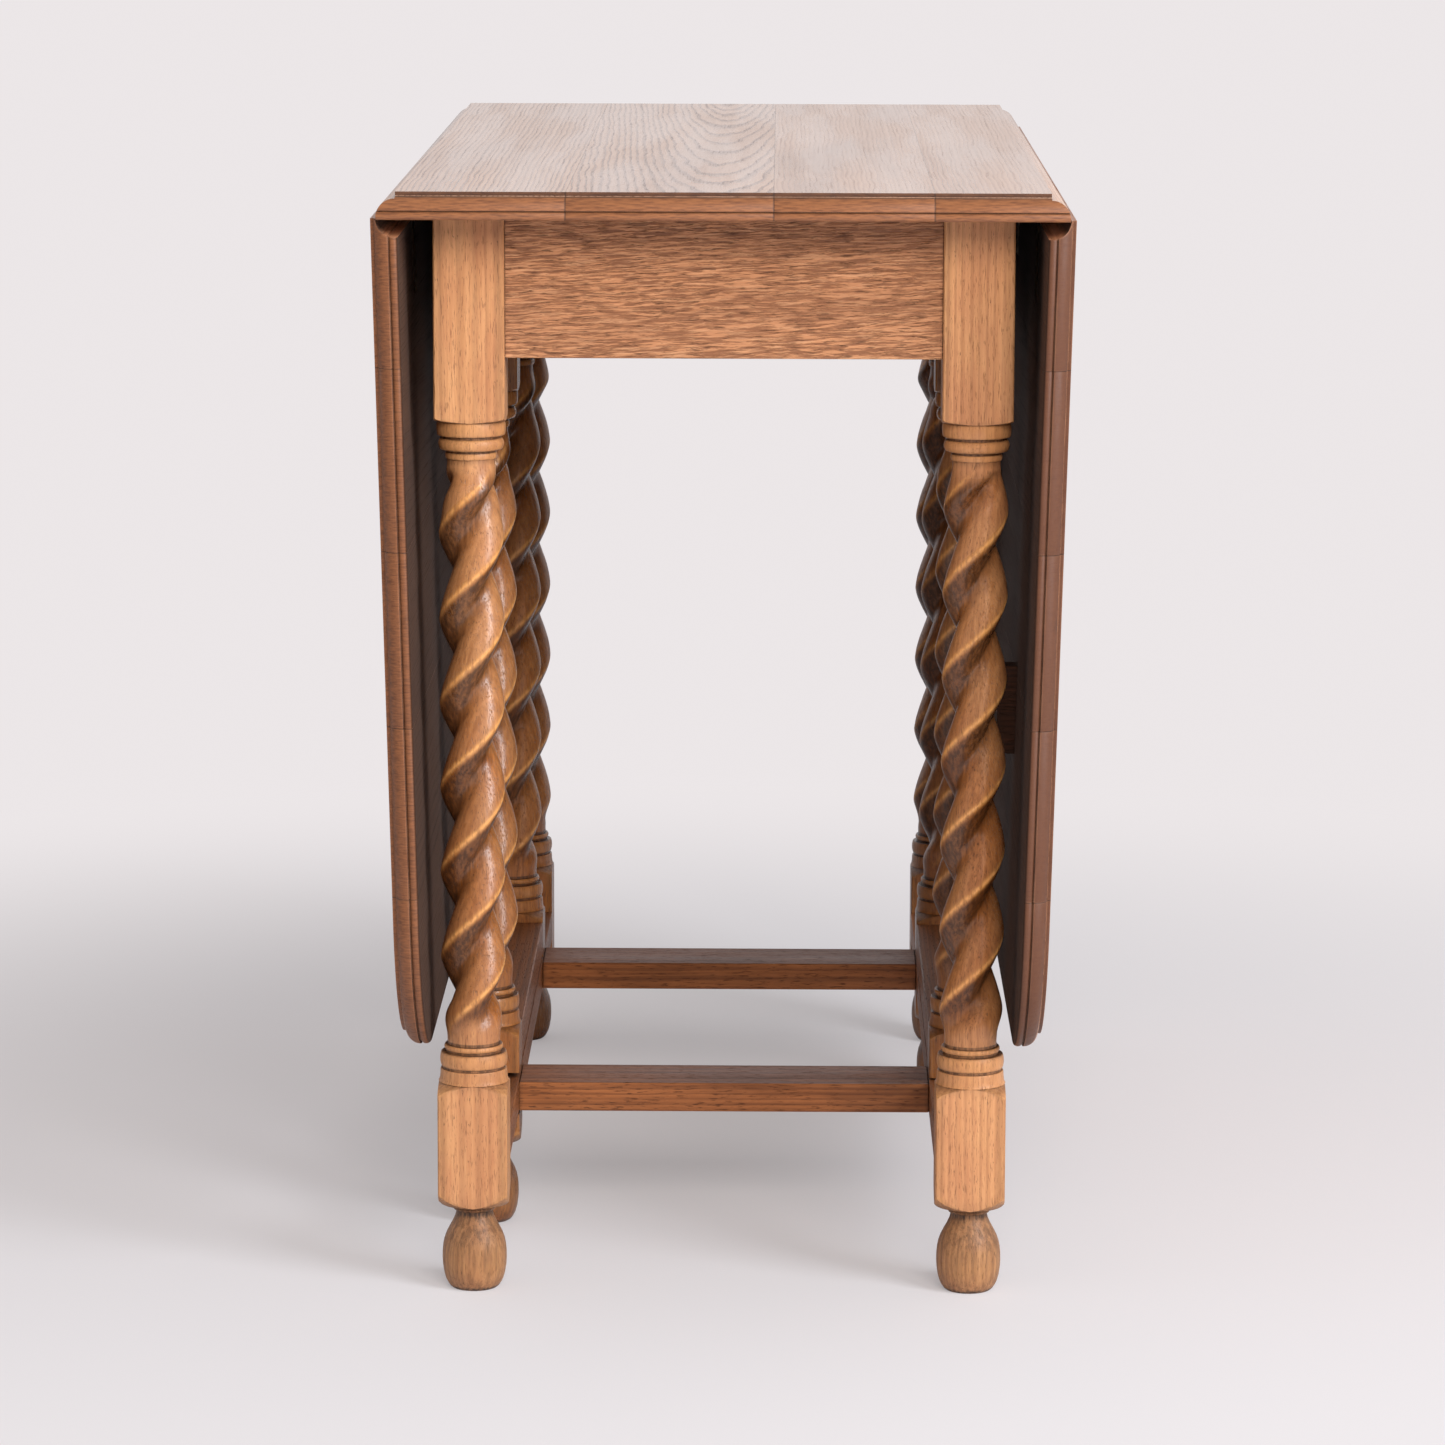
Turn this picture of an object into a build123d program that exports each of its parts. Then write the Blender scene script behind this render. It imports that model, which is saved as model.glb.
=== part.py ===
from build123d import *
import os

# Driving dimensions, in millimetres and degrees. X runs across the table, Y along it, Z up from the floor.

# Top
TOP_HEIGHT = 735.0            # floor to the upper face
TOP_THICKNESS = 17.5
TOP_LENGTH = 914.0            # over the end moulds
PIN_LINE = 208.0              # middle of the table to the hinge pins
BOARD_JOINTS = (-100.0, 32.0, 134.0)

# Thumb mould round the ends of the top and the free edges of the leaves
MOULD_STEP = 2.4              # upright step under the upper face
MOULD_RADIUS = 9.0
QUIRK_HEIGHT = 0.6
QUIRK_DEPTH = 1.5

# Rule joint between the top and a leaf
RULE_LIP = 4.0                # upright step over the round
RULE_RADIUS = 12.0
RULE_GAP = 0.6

# Leaves
LEAF_WIDTH = 554.0            # hinge pins to the free edge
LEAF_CORNER = 95.0
LEAF_BOARDS = (96.0, 118.0, 114.0, 112.0)   # widths from the hinge outwards; the last board fills the rest
LEAF_LEAN = 1.45              # a hanging leaf leans in until its weight is under the pins

# Legs and posts
POST_SIZE = 46.0
POST_OFFSET = 164.5           # middle of the table to the post axes, across
END_OVERHANG = 61.0           # from the outer faces of the legs to the ends of the top
GATE_SPREAD = 197.0           # middle of the table to the gate post axes, along
FOOT_HEIGHT = 58.8
LOWER_BLOCK_TOP = 141.0
UPPER_BLOCK_HEIGHT = 136.5
BLOCK_ROUNDING = 7.2          # height of the rounded shoulders at the foot end
SHOULDER = 3.5                # height of the shoulders beside the rings

# Turned rings, as (radius, height, bulge) steps measured from the block beside them
LOWER_RINGS = (
    (21.1, 0.0, 0.0), (21.1, 8.3, 0.8), (19.5, 8.3, 0.0), (19.5, 10.5, 0.0),
    (20.6, 10.5, 0.0), (20.6, 19.5, 0.6), (17.0, 19.5, 0.0), (17.0, 21.5, 0.0),
    (17.6, 21.5, 0.0), (17.6, 27.0, 0.4),
)
UPPER_RINGS = (
    (21.7, 0.0, 0.0), (21.7, 9.1, 0.8), (20.0, 9.1, 0.0), (20.0, 12.5, 0.0),
    (20.6, 12.5, 0.0), (20.6, 18.6, 1.1), (16.0, 18.6, 0.0), (16.0, 21.4, 0.0),
    (15.4, 21.4, 0.0), (15.4, 25.0, 0.0),
)
FOOT_SOLE = 16.4
FOOT_BULB = 21.0
FOOT_BULB_HEIGHT = 24.0
FOOT_NECK = 13.3
FOOT_NECK_HEIGHT = 50.0
FOOT_COLLAR = 17.0
FOOT_COLLAR_HEIGHT = 3.0

# Barley twist: two round strands wound to the right
STRAND_RADIUS = 13.9
STRAND_OFFSET = 7.4
TWIST_PITCH = 112.5
TWIST_TAPER = 18.0            # height of the necks between the strands and the rings
TWIST_TAPER_RADIUS = 19.0
TWIST_TURNS = {               # how far each post's twist is turned about its axis
    "leg_front_left": 58.0,
    "leg_front_right": -6.0,
    "leg_back_left": -29.0,
    "leg_back_right": -26.0,
    "left_gate_leg": 83.0,
    "right_gate_leg": 83.0,
    "left_gate_pivot_post": 86.0,
    "right_gate_pivot_post": 29.0,
}

# Rails, aprons and stretchers
APRON_HEIGHT = 94.0
APRON_THICKNESS = 20.0
APRON_SETBACK = 3.0
SIDE_RAIL_THICKNESS = 22.0
SIDE_RAIL_HOUSING = 6.0       # depth of the recess that the gate leg shuts into
STRETCHER_BASE = 84.0
STRETCHER_THICKNESS = 22.0
CROSS_WIDTH = 56.0
CROSS_THICKNESS = 20.0
MORTICE_FLOOR = 21.0          # wood left past the end of a deep mortice
TENON_SHOULDER = 5.0          # left on each side of a tenon
TENON_EDGE = 9.5              # left above and below a deep tenon
CROSS_TENON_LENGTH = 14.0

# Gates
GATE_GAP = 4.0                # free height over the stretcher
GATE_RAIL_HEIGHT = 24.0
GATE_RAIL_WIDTH = 34.0
GATE_TOP_RAIL_HEIGHT = 21.5
GATE_TOP_GAP = 3.0            # free height under the side rail
GATE_TENON_LENGTH = 16.0
GATE_LEG_CLEARANCE = 0.5      # between the halves of a lapped notch
GATE_LEG_DROP = 0.4           # below the leaf that it carries
GATE_FOOT_LIFT = 0.3
LAP_DEPTH = 23.0              # thickness kept on the gate leg where it laps the stretcher
LAP_SIDE = 1.2                # room on each side of the gate leg in its notch
PIVOT_RADIUS = 5.0
PIVOT_BITE = 20.0             # depth of a pivot pin in its post
PIVOT_STRETCHER_BITE = 17.0
PIVOT_RAIL_BITE = 24.0
PIVOT_FIT = 0.05
PIVOT_END_ROOM = 1.0
WASHER_RADIUS = 11.0
WASHER_THICKNESS = 1.0
WASHER_PLAY = 0.3

# Hinges
HINGE_SPREAD = 300.0
HINGE_WIDTH = 32.0
HINGE_THICKNESS = 2.2
FIXED_FLAP_LENGTH = 38.0
LEAF_FLAP_LENGTH = 62.0
KNUCKLE_RADIUS = 3.5
KNUCKLE_WIDTH = 11.6          # middle knuckle, on the leaf's flap
KNUCKLE_GAP = 0.3
PIN_RADIUS = 1.5
PIN_FIT = 0.05
HINGE_ROOM = 0.7              # between a moving hinge part and the wood
FLAP_SETBACK = 5.0            # the leaf's flap beside the fixed knuckles

# Screws
SCREW_RADIUS = 1.7
SCREW_HEAD_RADIUS = 3.4
SCREW_HEAD_HEIGHT = 1.8
HINGE_SCREW_LENGTH = 13.0
HINGE_SCREW_SPREAD = 9.0
HINGE_SCREW_INSET = 8.0
BLOCK_SCREW_BITE = 11.0       # depth of a block's screw in the board above it

# Glue blocks under the top and stop blocks under the leaves
GLUE_BLOCK_SIZE = 28.0
GLUE_BLOCK_LENGTH = 60.0
GLUE_BLOCK_END_SPREAD = 70.0
GLUE_BLOCK_SIDE_SPREAD = 100.0
STOP_LENGTH = 60.0
STOP_WIDTH = 20.0
STOP_THICKNESS = 12.0
STOP_CLEARANCE = 1.0
STOP_SCREW_SPREAD = 18.0

# Values that follow from the ones above
UNDERSIDE = TOP_HEIGHT - TOP_THICKNESS
PIN_HEIGHT = TOP_HEIGHT - RULE_LIP - RULE_RADIUS
HALF_LENGTH = TOP_LENGTH / 2
HALF_POST = POST_SIZE / 2
POST_INNER = POST_OFFSET - HALF_POST
POST_OUTER = POST_OFFSET + HALF_POST
TENON_LENGTH = POST_SIZE - MORTICE_FLOOR
LEG_SPREAD = HALF_LENGTH - END_OVERHANG - HALF_POST
LEG_INNER = LEG_SPREAD - HALF_POST
LEG_OUTER = LEG_SPREAD + HALF_POST
UPPER_BLOCK_BASE = UNDERSIDE - UPPER_BLOCK_HEIGHT
APRON_BASE = UNDERSIDE - APRON_HEIGHT
STRETCHER_TOP = STRETCHER_BASE + STRETCHER_THICKNESS
RAIL_OUTER = POST_OFFSET + SIDE_RAIL_THICKNESS / 2
GATE_RAIL_BASE = STRETCHER_TOP + GATE_GAP
PIVOT_POST_BASE = STRETCHER_TOP + WASHER_THICKNESS + WASHER_PLAY
PIVOT_POST_TOP = APRON_BASE - WASHER_THICKNESS - WASHER_PLAY
OVERRUN = 5.0                 # how far a cutting solid runs past what it cuts


def block(x_range, y_range, z_range):
    """Rectangular block between the given limits."""
    middle = [(low + high) / 2 for low, high in (x_range, y_range, z_range)]
    size = [high - low for low, high in (x_range, y_range, z_range)]
    return Pos(*middle) * Box(*size)


def spread(middle, half):
    """Limits that lie evenly about a middle."""
    return (middle - half, middle + half)


def upright_cylinder(radius, x, y, z_range):
    """Cylinder along Z."""
    low, high = z_range
    return Pos(x, y, (low + high) / 2) * Cylinder(radius, high - low)


def long_cylinder(radius, x, z, y_range):
    """Cylinder along Y."""
    low, high = y_range
    return Pos(x, (low + high) / 2, z) * Rot(90, 0, 0) * Cylinder(radius, high - low)


def turned(steps):
    """Solid turned about Z from (radius, height, bulge) steps; a bulge swells the step's edge outwards."""
    start = (0, steps[0][1])
    edges = []
    for radius, height, bulge in steps:
        end = (radius, height)
        outward = -bulge if height > start[1] else bulge
        if bulge:
            edges.append(SagittaArc(start, end, outward))
        else:
            edges.append(Line(start, end))
        start = end
    edges.append(Line(start, (0, start[1])))
    edges.append(Line((0, start[1]), (0, steps[0][1])))
    outline = Curve() + edges
    return revolve(Plane.XZ * make_face(outline), Axis.Z)


def screw(length, x, y, z):
    """Countersunk wood screw that points up, its head flush at the given point."""
    middle = SCREW_HEAD_HEIGHT / 2
    head = Pos(0, 0, middle) * Cone(SCREW_HEAD_RADIUS, SCREW_RADIUS, SCREW_HEAD_HEIGHT)
    shank = upright_cylinder(SCREW_RADIUS, 0, 0, (SCREW_HEAD_HEIGHT, length))
    return Pos(x, y, z) * (head + shank)


def mould_section(origin, inward, along):
    """Section of the waste outside the thumb mould, from an origin on the wood's lower outer edge."""
    step_base = TOP_THICKNESS - MOULD_STEP
    round_base = step_base - MOULD_RADIUS
    bead_top = round_base - QUIRK_HEIGHT
    outline = Curve() + [
        Line((-OVERRUN, -OVERRUN), (-OVERRUN, TOP_THICKNESS + OVERRUN)),
        Line((-OVERRUN, TOP_THICKNESS + OVERRUN), (MOULD_RADIUS, TOP_THICKNESS + OVERRUN)),
        Line((MOULD_RADIUS, TOP_THICKNESS + OVERRUN), (MOULD_RADIUS, step_base)),
        RadiusArc((MOULD_RADIUS, step_base), (0, round_base), -MOULD_RADIUS),
        Line((0, round_base), (QUIRK_DEPTH, round_base)),
        Line((QUIRK_DEPTH, round_base), (QUIRK_DEPTH, bead_top)),
        SagittaArc((QUIRK_DEPTH, bead_top), (QUIRK_DEPTH, 0), -QUIRK_DEPTH),
        Line((QUIRK_DEPTH, 0), (QUIRK_DEPTH, -OVERRUN)),
        Line((QUIRK_DEPTH, -OVERRUN), (-OVERRUN, -OVERRUN)),
    ]
    return Plane(origin=origin, x_dir=inward, z_dir=along) * make_face(outline)


def end_mould_waste(side):
    """Waste cut from the top along one end."""
    reach = PIN_LINE + RULE_RADIUS + OVERRUN
    origin = (side * reach, side * HALF_LENGTH, UNDERSIDE)
    return extrude(mould_section(origin, (0, -side, 0), (-side, 0, 0)), amount=2 * reach)


def hinge_places():
    """Middles of the three hinges of a leaf, along Y."""
    return (-HINGE_SPREAD, 0.0, HINGE_SPREAD)


def flap_screws(pair_x, single_x):
    """Three screws for each hinge flap: two beside the knuckles and one at the flap's tip."""
    screws = []
    for middle in hinge_places():
        screws.append(screw(HINGE_SCREW_LENGTH, pair_x, middle - HINGE_SCREW_SPREAD, UNDERSIDE))
        screws.append(screw(HINGE_SCREW_LENGTH, pair_x, middle + HINGE_SCREW_SPREAD, UNDERSIDE))
        screws.append(screw(HINGE_SCREW_LENGTH, single_x, middle, UNDERSIDE))
    return screws


def fixed_flap_screws():
    """Screws of the fixed flaps on the right-hand side."""
    inner = PIN_LINE - FIXED_FLAP_LENGTH + HINGE_SCREW_INSET
    outer = PIN_LINE - 2 * HINGE_SCREW_INSET
    return flap_screws(outer, inner)


def fixed_flaps():
    """Fixed flaps and their outer knuckles on the right-hand side."""
    flaps = []
    flap_height = (UNDERSIDE, UNDERSIDE + HINGE_THICKNESS)
    middle_room = KNUCKLE_WIDTH / 2 + KNUCKLE_GAP
    for middle in hinge_places():
        width = spread(middle, HINGE_WIDTH / 2)
        flap = block((PIN_LINE - FIXED_FLAP_LENGTH, PIN_LINE), width, flap_height)
        flap += long_cylinder(KNUCKLE_RADIUS, PIN_LINE, PIN_HEIGHT, width)
        flap -= long_cylinder(KNUCKLE_RADIUS + KNUCKLE_GAP, PIN_LINE, PIN_HEIGHT, spread(middle, middle_room))
        flap -= long_cylinder(PIN_RADIUS, PIN_LINE, PIN_HEIGHT, width)
        flaps.append(flap)
    return subtract_from_each(flaps, fixed_flap_screws())


def hinge_pins():
    """Hinge pins on the right-hand side."""
    return [
        long_cylinder(PIN_RADIUS, PIN_LINE, PIN_HEIGHT, spread(middle, HINGE_WIDTH / 2))
        for middle in hinge_places()
    ]


def fixed_flap_recesses():
    """Room in the underside of the top for the hinges on the right-hand side."""
    recesses = []
    room_radius = KNUCKLE_RADIUS + HINGE_ROOM
    edge = PIN_LINE + RULE_RADIUS + OVERRUN
    for middle in hinge_places():
        width = spread(middle, HINGE_WIDTH / 2)
        wide = spread(middle, HINGE_WIDTH / 2 + HINGE_ROOM)
        flap_height = (UNDERSIDE - OVERRUN, UNDERSIDE + HINGE_THICKNESS)
        moving_height = (UNDERSIDE - OVERRUN, UNDERSIDE + HINGE_THICKNESS + HINGE_ROOM)
        recesses.append(block((PIN_LINE - FIXED_FLAP_LENGTH, PIN_LINE), width, flap_height))
        recesses.append(block((PIN_LINE, edge), wide, moving_height))
        recesses.append(long_cylinder(room_radius, PIN_LINE, PIN_HEIGHT, wide))
        recesses.append(block(spread(PIN_LINE, room_radius), wide, (UNDERSIDE - OVERRUN, PIN_HEIGHT)))
    return recesses


def glue_block_places():
    """Middles of the glue blocks inside the frame, with the direction that each block runs in."""
    end_y = LEG_OUTER - APRON_SETBACK - APRON_THICKNESS - GLUE_BLOCK_SIZE / 2
    side_x = RAIL_OUTER - SIDE_RAIL_THICKNESS - GLUE_BLOCK_SIZE / 2
    places = []
    for first in (-1, 1):
        for second in (-1, 1):
            places.append((first * GLUE_BLOCK_END_SPREAD, second * end_y, "across"))
            places.append((first * side_x, second * GLUE_BLOCK_SIDE_SPREAD, "along"))
    return places


def glue_block_screws():
    """Screws that go up through the glue blocks into the top."""
    length = GLUE_BLOCK_SIZE + BLOCK_SCREW_BITE
    return [screw(length, x, y, UNDERSIDE - GLUE_BLOCK_SIZE) for x, y, _ in glue_block_places()]


def glue_blocks():
    """Glue blocks in the angle between the top and the rails and aprons."""
    blocks = []
    height = (UNDERSIDE - GLUE_BLOCK_SIZE, UNDERSIDE)
    half_length = GLUE_BLOCK_LENGTH / 2
    half_size = GLUE_BLOCK_SIZE / 2
    for x, y, direction in glue_block_places():
        halves = (half_length, half_size) if direction == "across" else (half_size, half_length)
        blocks.append(block(spread(x, halves[0]), spread(y, halves[1]), height))
    return subtract_from_each(blocks, glue_block_screws())


def subtract_from_each(solids, cutters):
    """Each solid with the cutters taken out of it."""
    waste = Part() + cutters
    return [solid - waste for solid in solids]


def other_side(shapes):
    """Copies of right-hand shapes on the left: the table looks the same after half a turn."""
    return [Rot(0, 0, 180) * shape for shape in shapes]


def both_sides(shapes):
    """Right-hand shapes with their left-hand copies."""
    return shapes + other_side(shapes)


def top_boards():
    """The fixed boards of the top, from left to right."""
    edge = PIN_LINE + RULE_RADIUS
    slab = block(spread(0, edge), spread(0, HALF_LENGTH), (UNDERSIDE, TOP_HEIGHT))
    full_length = spread(0, HALF_LENGTH + OVERRUN)
    for side in (-1, 1):
        x_range = sorted((side * PIN_LINE, side * (edge + OVERRUN)))
        waste = block(x_range, full_length, (PIN_HEIGHT, TOP_HEIGHT + OVERRUN))
        slab -= waste - long_cylinder(RULE_RADIUS, side * PIN_LINE, PIN_HEIGHT, full_length)
        slab -= end_mould_waste(side)
    slab -= both_sides(fixed_flap_recesses() + fixed_flap_screws()) + glue_block_screws()
    cuts = (-edge,) + BOARD_JOINTS + (edge,)
    return [
        slab & block(x_range, full_length, (UNDERSIDE, TOP_HEIGHT))
        for x_range in zip(cuts[:-1], cuts[1:])
    ]


def lay_down(shapes):
    """Right-hand leaf parts, modelled raised, turned down to where they hang."""
    to_pin = Pos(PIN_LINE, 0, PIN_HEIGHT)
    return [to_pin * Rot(0, 90 + LEAF_LEAN, 0) * to_pin.inverse() * shape for shape in shapes]


def leaf_path():
    """Free edges of the raised right-hand leaf, on its underside."""
    free_edge = PIN_LINE + LEAF_WIDTH
    near = Line((PIN_LINE, -HALF_LENGTH), (free_edge - LEAF_CORNER, -HALF_LENGTH))
    near_corner = JernArc(near @ 1, near % 1, LEAF_CORNER, 90)
    outer = Line(near_corner @ 1, (free_edge, HALF_LENGTH - LEAF_CORNER))
    far_corner = JernArc(outer @ 1, outer % 1, LEAF_CORNER, 90)
    far = Line(far_corner @ 1, (PIN_LINE, HALF_LENGTH))
    return Pos(0, 0, UNDERSIDE) * (Curve() + [near, near_corner, outer, far_corner, far])


def leaf_flap_screws():
    """Screws of the leaf's hinge flaps, raised, on the right-hand side."""
    inner = PIN_LINE + RULE_RADIUS + 2 * HINGE_SCREW_INSET
    outer = PIN_LINE + LEAF_FLAP_LENGTH - HINGE_SCREW_INSET
    return flap_screws(inner, outer)


def leaf_flaps():
    """Leaf flaps and their middle knuckles, raised, on the right-hand side."""
    flaps = []
    flap_height = (UNDERSIDE, UNDERSIDE + HINGE_THICKNESS)
    for middle in hinge_places():
        width = spread(middle, HINGE_WIDTH / 2)
        knuckle = spread(middle, KNUCKLE_WIDTH / 2)
        flap = block((PIN_LINE + FLAP_SETBACK, PIN_LINE + LEAF_FLAP_LENGTH), width, flap_height)
        flap += block((PIN_LINE, PIN_LINE + FLAP_SETBACK), knuckle, flap_height)
        flap += long_cylinder(KNUCKLE_RADIUS, PIN_LINE, PIN_HEIGHT, knuckle)
        flap -= long_cylinder(PIN_RADIUS + PIN_FIT, PIN_LINE, PIN_HEIGHT, width)
        flaps.append(flap)
    return subtract_from_each(flaps, leaf_flap_screws())


def stop_range():
    """Limits of the right-hand stop block along Y: just past the opened gate leg."""
    start = GATE_SPREAD + HALF_POST + STOP_CLEARANCE
    return (-start - STOP_WIDTH, -start)


def stop_place():
    """Distance of the opened gate leg from the middle of the table, across."""
    return POST_OFFSET + 2 * GATE_SPREAD


def stop_screws():
    """Screws of the raised right-hand stop block."""
    low, high = stop_range()
    length = STOP_THICKNESS + BLOCK_SCREW_BITE
    return [
        screw(length, stop_place() + step, (low + high) / 2, UNDERSIDE - STOP_THICKNESS)
        for step in (-STOP_SCREW_SPREAD, STOP_SCREW_SPREAD)
    ]


def stop_block():
    """Raised right-hand stop block."""
    height = (UNDERSIDE - STOP_THICKNESS, UNDERSIDE)
    solid = block(spread(stop_place(), STOP_LENGTH / 2), stop_range(), height)
    return subtract_from_each([solid], stop_screws())


def leaf_boards():
    """Boards of the raised right-hand leaf, from the hinge outwards."""
    path = leaf_path()
    ends = Line(path @ 1, path @ 0)
    slab = extrude(make_face(path + ends), amount=TOP_THICKNESS)
    start = (PIN_LINE, -HALF_LENGTH, UNDERSIDE)
    slab -= sweep(mould_section(start, (0, 1, 0), (1, 0, 0)), path=path)
    cove = RULE_RADIUS + RULE_GAP
    full_length = spread(0, HALF_LENGTH + OVERRUN)
    slab -= long_cylinder(cove, PIN_LINE, PIN_HEIGHT, full_length)
    slab -= block((PIN_LINE - OVERRUN, PIN_LINE + cove), full_length, (UNDERSIDE - OVERRUN, PIN_HEIGHT))
    lip = (UNDERSIDE - OVERRUN, TOP_HEIGHT + OVERRUN)
    slab -= block((PIN_LINE - OVERRUN, PIN_LINE + RULE_GAP), full_length, lip)
    slab -= [
        block(
            (PIN_LINE, PIN_LINE + LEAF_FLAP_LENGTH),
            spread(middle, HINGE_WIDTH / 2),
            (UNDERSIDE - OVERRUN, UNDERSIDE + HINGE_THICKNESS),
        )
        for middle in hinge_places()
    ]
    slab -= leaf_flap_screws() + stop_screws()
    cuts = [PIN_LINE]
    for width in LEAF_BOARDS:
        cuts.append(cuts[-1] + width)
    cuts.append(PIN_LINE + LEAF_WIDTH)
    return [
        slab & block(x_range, full_length, (UNDERSIDE, TOP_HEIGHT))
        for x_range in zip(cuts[:-1], cuts[1:])
    ]


def square_block(base, top, base_rounding, top_rounding):
    """Square part of a post about Z, its corners rounded in towards an end that has a rounding."""
    solid = block(spread(0, HALF_POST), spread(0, HALF_POST), (base, top))
    corner = HALF_POST * 2 ** 0.5
    steps = []
    if base_rounding:
        steps += [(HALF_POST - BLOCK_ROUNDING / 2, base, 0)]
        steps += [(corner, base + base_rounding, base_rounding / 4)]
    else:
        steps += [(corner, base, 0)]
    steps += [(corner, top - top_rounding, 0)]
    if top_rounding:
        steps += [(HALF_POST, top, top_rounding / 4)]
    return solid & turned(steps)


def foot():
    """Turned foot on the floor."""
    profile = Curve() + [
        Line((0, 0), (FOOT_SOLE, 0)),
        Spline((FOOT_SOLE, 0), (FOOT_BULB, FOOT_BULB_HEIGHT), (FOOT_NECK, FOOT_NECK_HEIGHT),
               tangents=((0.3, 1), (0, 1))),
        Line((FOOT_NECK, FOOT_NECK_HEIGHT), (FOOT_COLLAR, FOOT_HEIGHT - FOOT_COLLAR_HEIGHT)),
        Line((FOOT_COLLAR, FOOT_HEIGHT - FOOT_COLLAR_HEIGHT), (FOOT_COLLAR, FOOT_HEIGHT)),
        Line((FOOT_COLLAR, FOOT_HEIGHT), (0, FOOT_HEIGHT)),
        Line((0, FOOT_HEIGHT), (0, 0)),
    ]
    return revolve(Plane.XZ * make_face(profile), Axis.Z)


def lower_turning():
    """Rings on the lower block and the neck that leads into the strands."""
    steps = [(radius, LOWER_BLOCK_TOP + height, bulge) for radius, height, bulge in LOWER_RINGS]
    steps.append((TWIST_TAPER_RADIUS, steps[-1][1] + TWIST_TAPER, 0))
    return turned(steps)


def upper_turning():
    """Neck above the strands and the rings under the upper block."""
    steps = [(radius, UPPER_BLOCK_BASE - height, bulge) for radius, height, bulge in UPPER_RINGS]
    steps.append((TWIST_TAPER_RADIUS, steps[-1][1] - TWIST_TAPER, 0))
    return turned(steps)


def twist(name):
    """Twisted shaft between the necks of the named post."""
    base = LOWER_BLOCK_TOP + LOWER_RINGS[-1][1] + TWIST_TAPER
    top = UPPER_BLOCK_BASE - UPPER_RINGS[-1][1] - TWIST_TAPER
    strand = Circle(STRAND_RADIUS)
    strands = (Pos(-STRAND_OFFSET, 0) * strand + Pos(STRAND_OFFSET, 0) * strand).face()
    length = top - base
    turn = 360 * length / TWIST_PITCH
    shaft = Solid.extrude_linear_with_rotation(strands, (0, 0, 0), (0, 0, length), turn)
    return Pos(0, 0, base) * Rot(0, 0, TWIST_TURNS[name]) * shaft


def post(name, lower_base, upper_top, with_foot):
    """Named post about Z: two square blocks with rings and a twisted shaft between them."""
    base_rounding = BLOCK_ROUNDING if with_foot else SHOULDER
    solid = square_block(lower_base, LOWER_BLOCK_TOP, base_rounding, SHOULDER)
    solid += lower_turning()
    solid += twist(name)
    solid += upper_turning()
    solid += square_block(UPPER_BLOCK_BASE, upper_top, SHOULDER, 0)
    if with_foot:
        solid += foot()
    return solid


def aprons():
    """End aprons, front and back, with their tenons."""
    outer = LEG_OUTER - APRON_SETBACK
    inner = outer - APRON_THICKNESS
    thickness = (inner + TENON_SHOULDER, outer - TENON_SHOULDER)
    height = (APRON_BASE + TENON_EDGE, UNDERSIDE - TENON_EDGE)
    apron = block(spread(0, POST_INNER), (inner, outer), (APRON_BASE, UNDERSIDE))
    apron += block(spread(0, POST_INNER + TENON_LENGTH), thickness, height)
    return [Rot(0, 0, 180) * apron, apron]


def pivot_axis():
    """Place of the right-hand gate's pivots."""
    return (POST_OFFSET, -GATE_SPREAD)


def gate_leg_width(clearance=0.0):
    """Limits of the right-hand gate leg along Y when it is shut."""
    return spread(GATE_SPREAD, HALF_POST + clearance)


def side_rail():
    """Right-hand rail under the top, with its tenons, the gate leg's recess and the upper pivot hole."""
    thickness = spread(POST_OFFSET, SIDE_RAIL_THICKNESS / 2)
    tenon = spread(POST_OFFSET, SIDE_RAIL_THICKNESS / 2 - TENON_SHOULDER)
    height = (APRON_BASE + TENON_EDGE, UNDERSIDE - TENON_EDGE)
    rail = block(thickness, spread(0, LEG_INNER), (APRON_BASE, UNDERSIDE))
    rail += block(tenon, spread(0, LEG_INNER + TENON_LENGTH), height)
    recess = (RAIL_OUTER - SIDE_RAIL_HOUSING, RAIL_OUTER + OVERRUN)
    rail -= block(recess, gate_leg_width(LAP_SIDE), (APRON_BASE - OVERRUN, UNDERSIDE + OVERRUN))
    hole = (APRON_BASE - OVERRUN, APRON_BASE + PIVOT_RAIL_BITE + PIVOT_END_ROOM)
    return rail - upright_cylinder(PIVOT_RADIUS + PIVOT_FIT, *pivot_axis(), hole)


def cross_stretchers():
    """Cross stretchers, front and back, with their tenons."""
    height = (STRETCHER_BASE, STRETCHER_BASE + CROSS_THICKNESS)
    tenon_height = (height[0] + TENON_SHOULDER, height[1] - TENON_SHOULDER)
    tenon_width = spread(GATE_SPREAD, CROSS_WIDTH / 2 - TENON_SHOULDER)
    stretcher = block(spread(0, POST_INNER), spread(GATE_SPREAD, CROSS_WIDTH / 2), height)
    stretcher += block(spread(0, POST_INNER + CROSS_TENON_LENGTH), tenon_width, tenon_height)
    return [Rot(0, 0, 180) * stretcher, stretcher]


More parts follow.
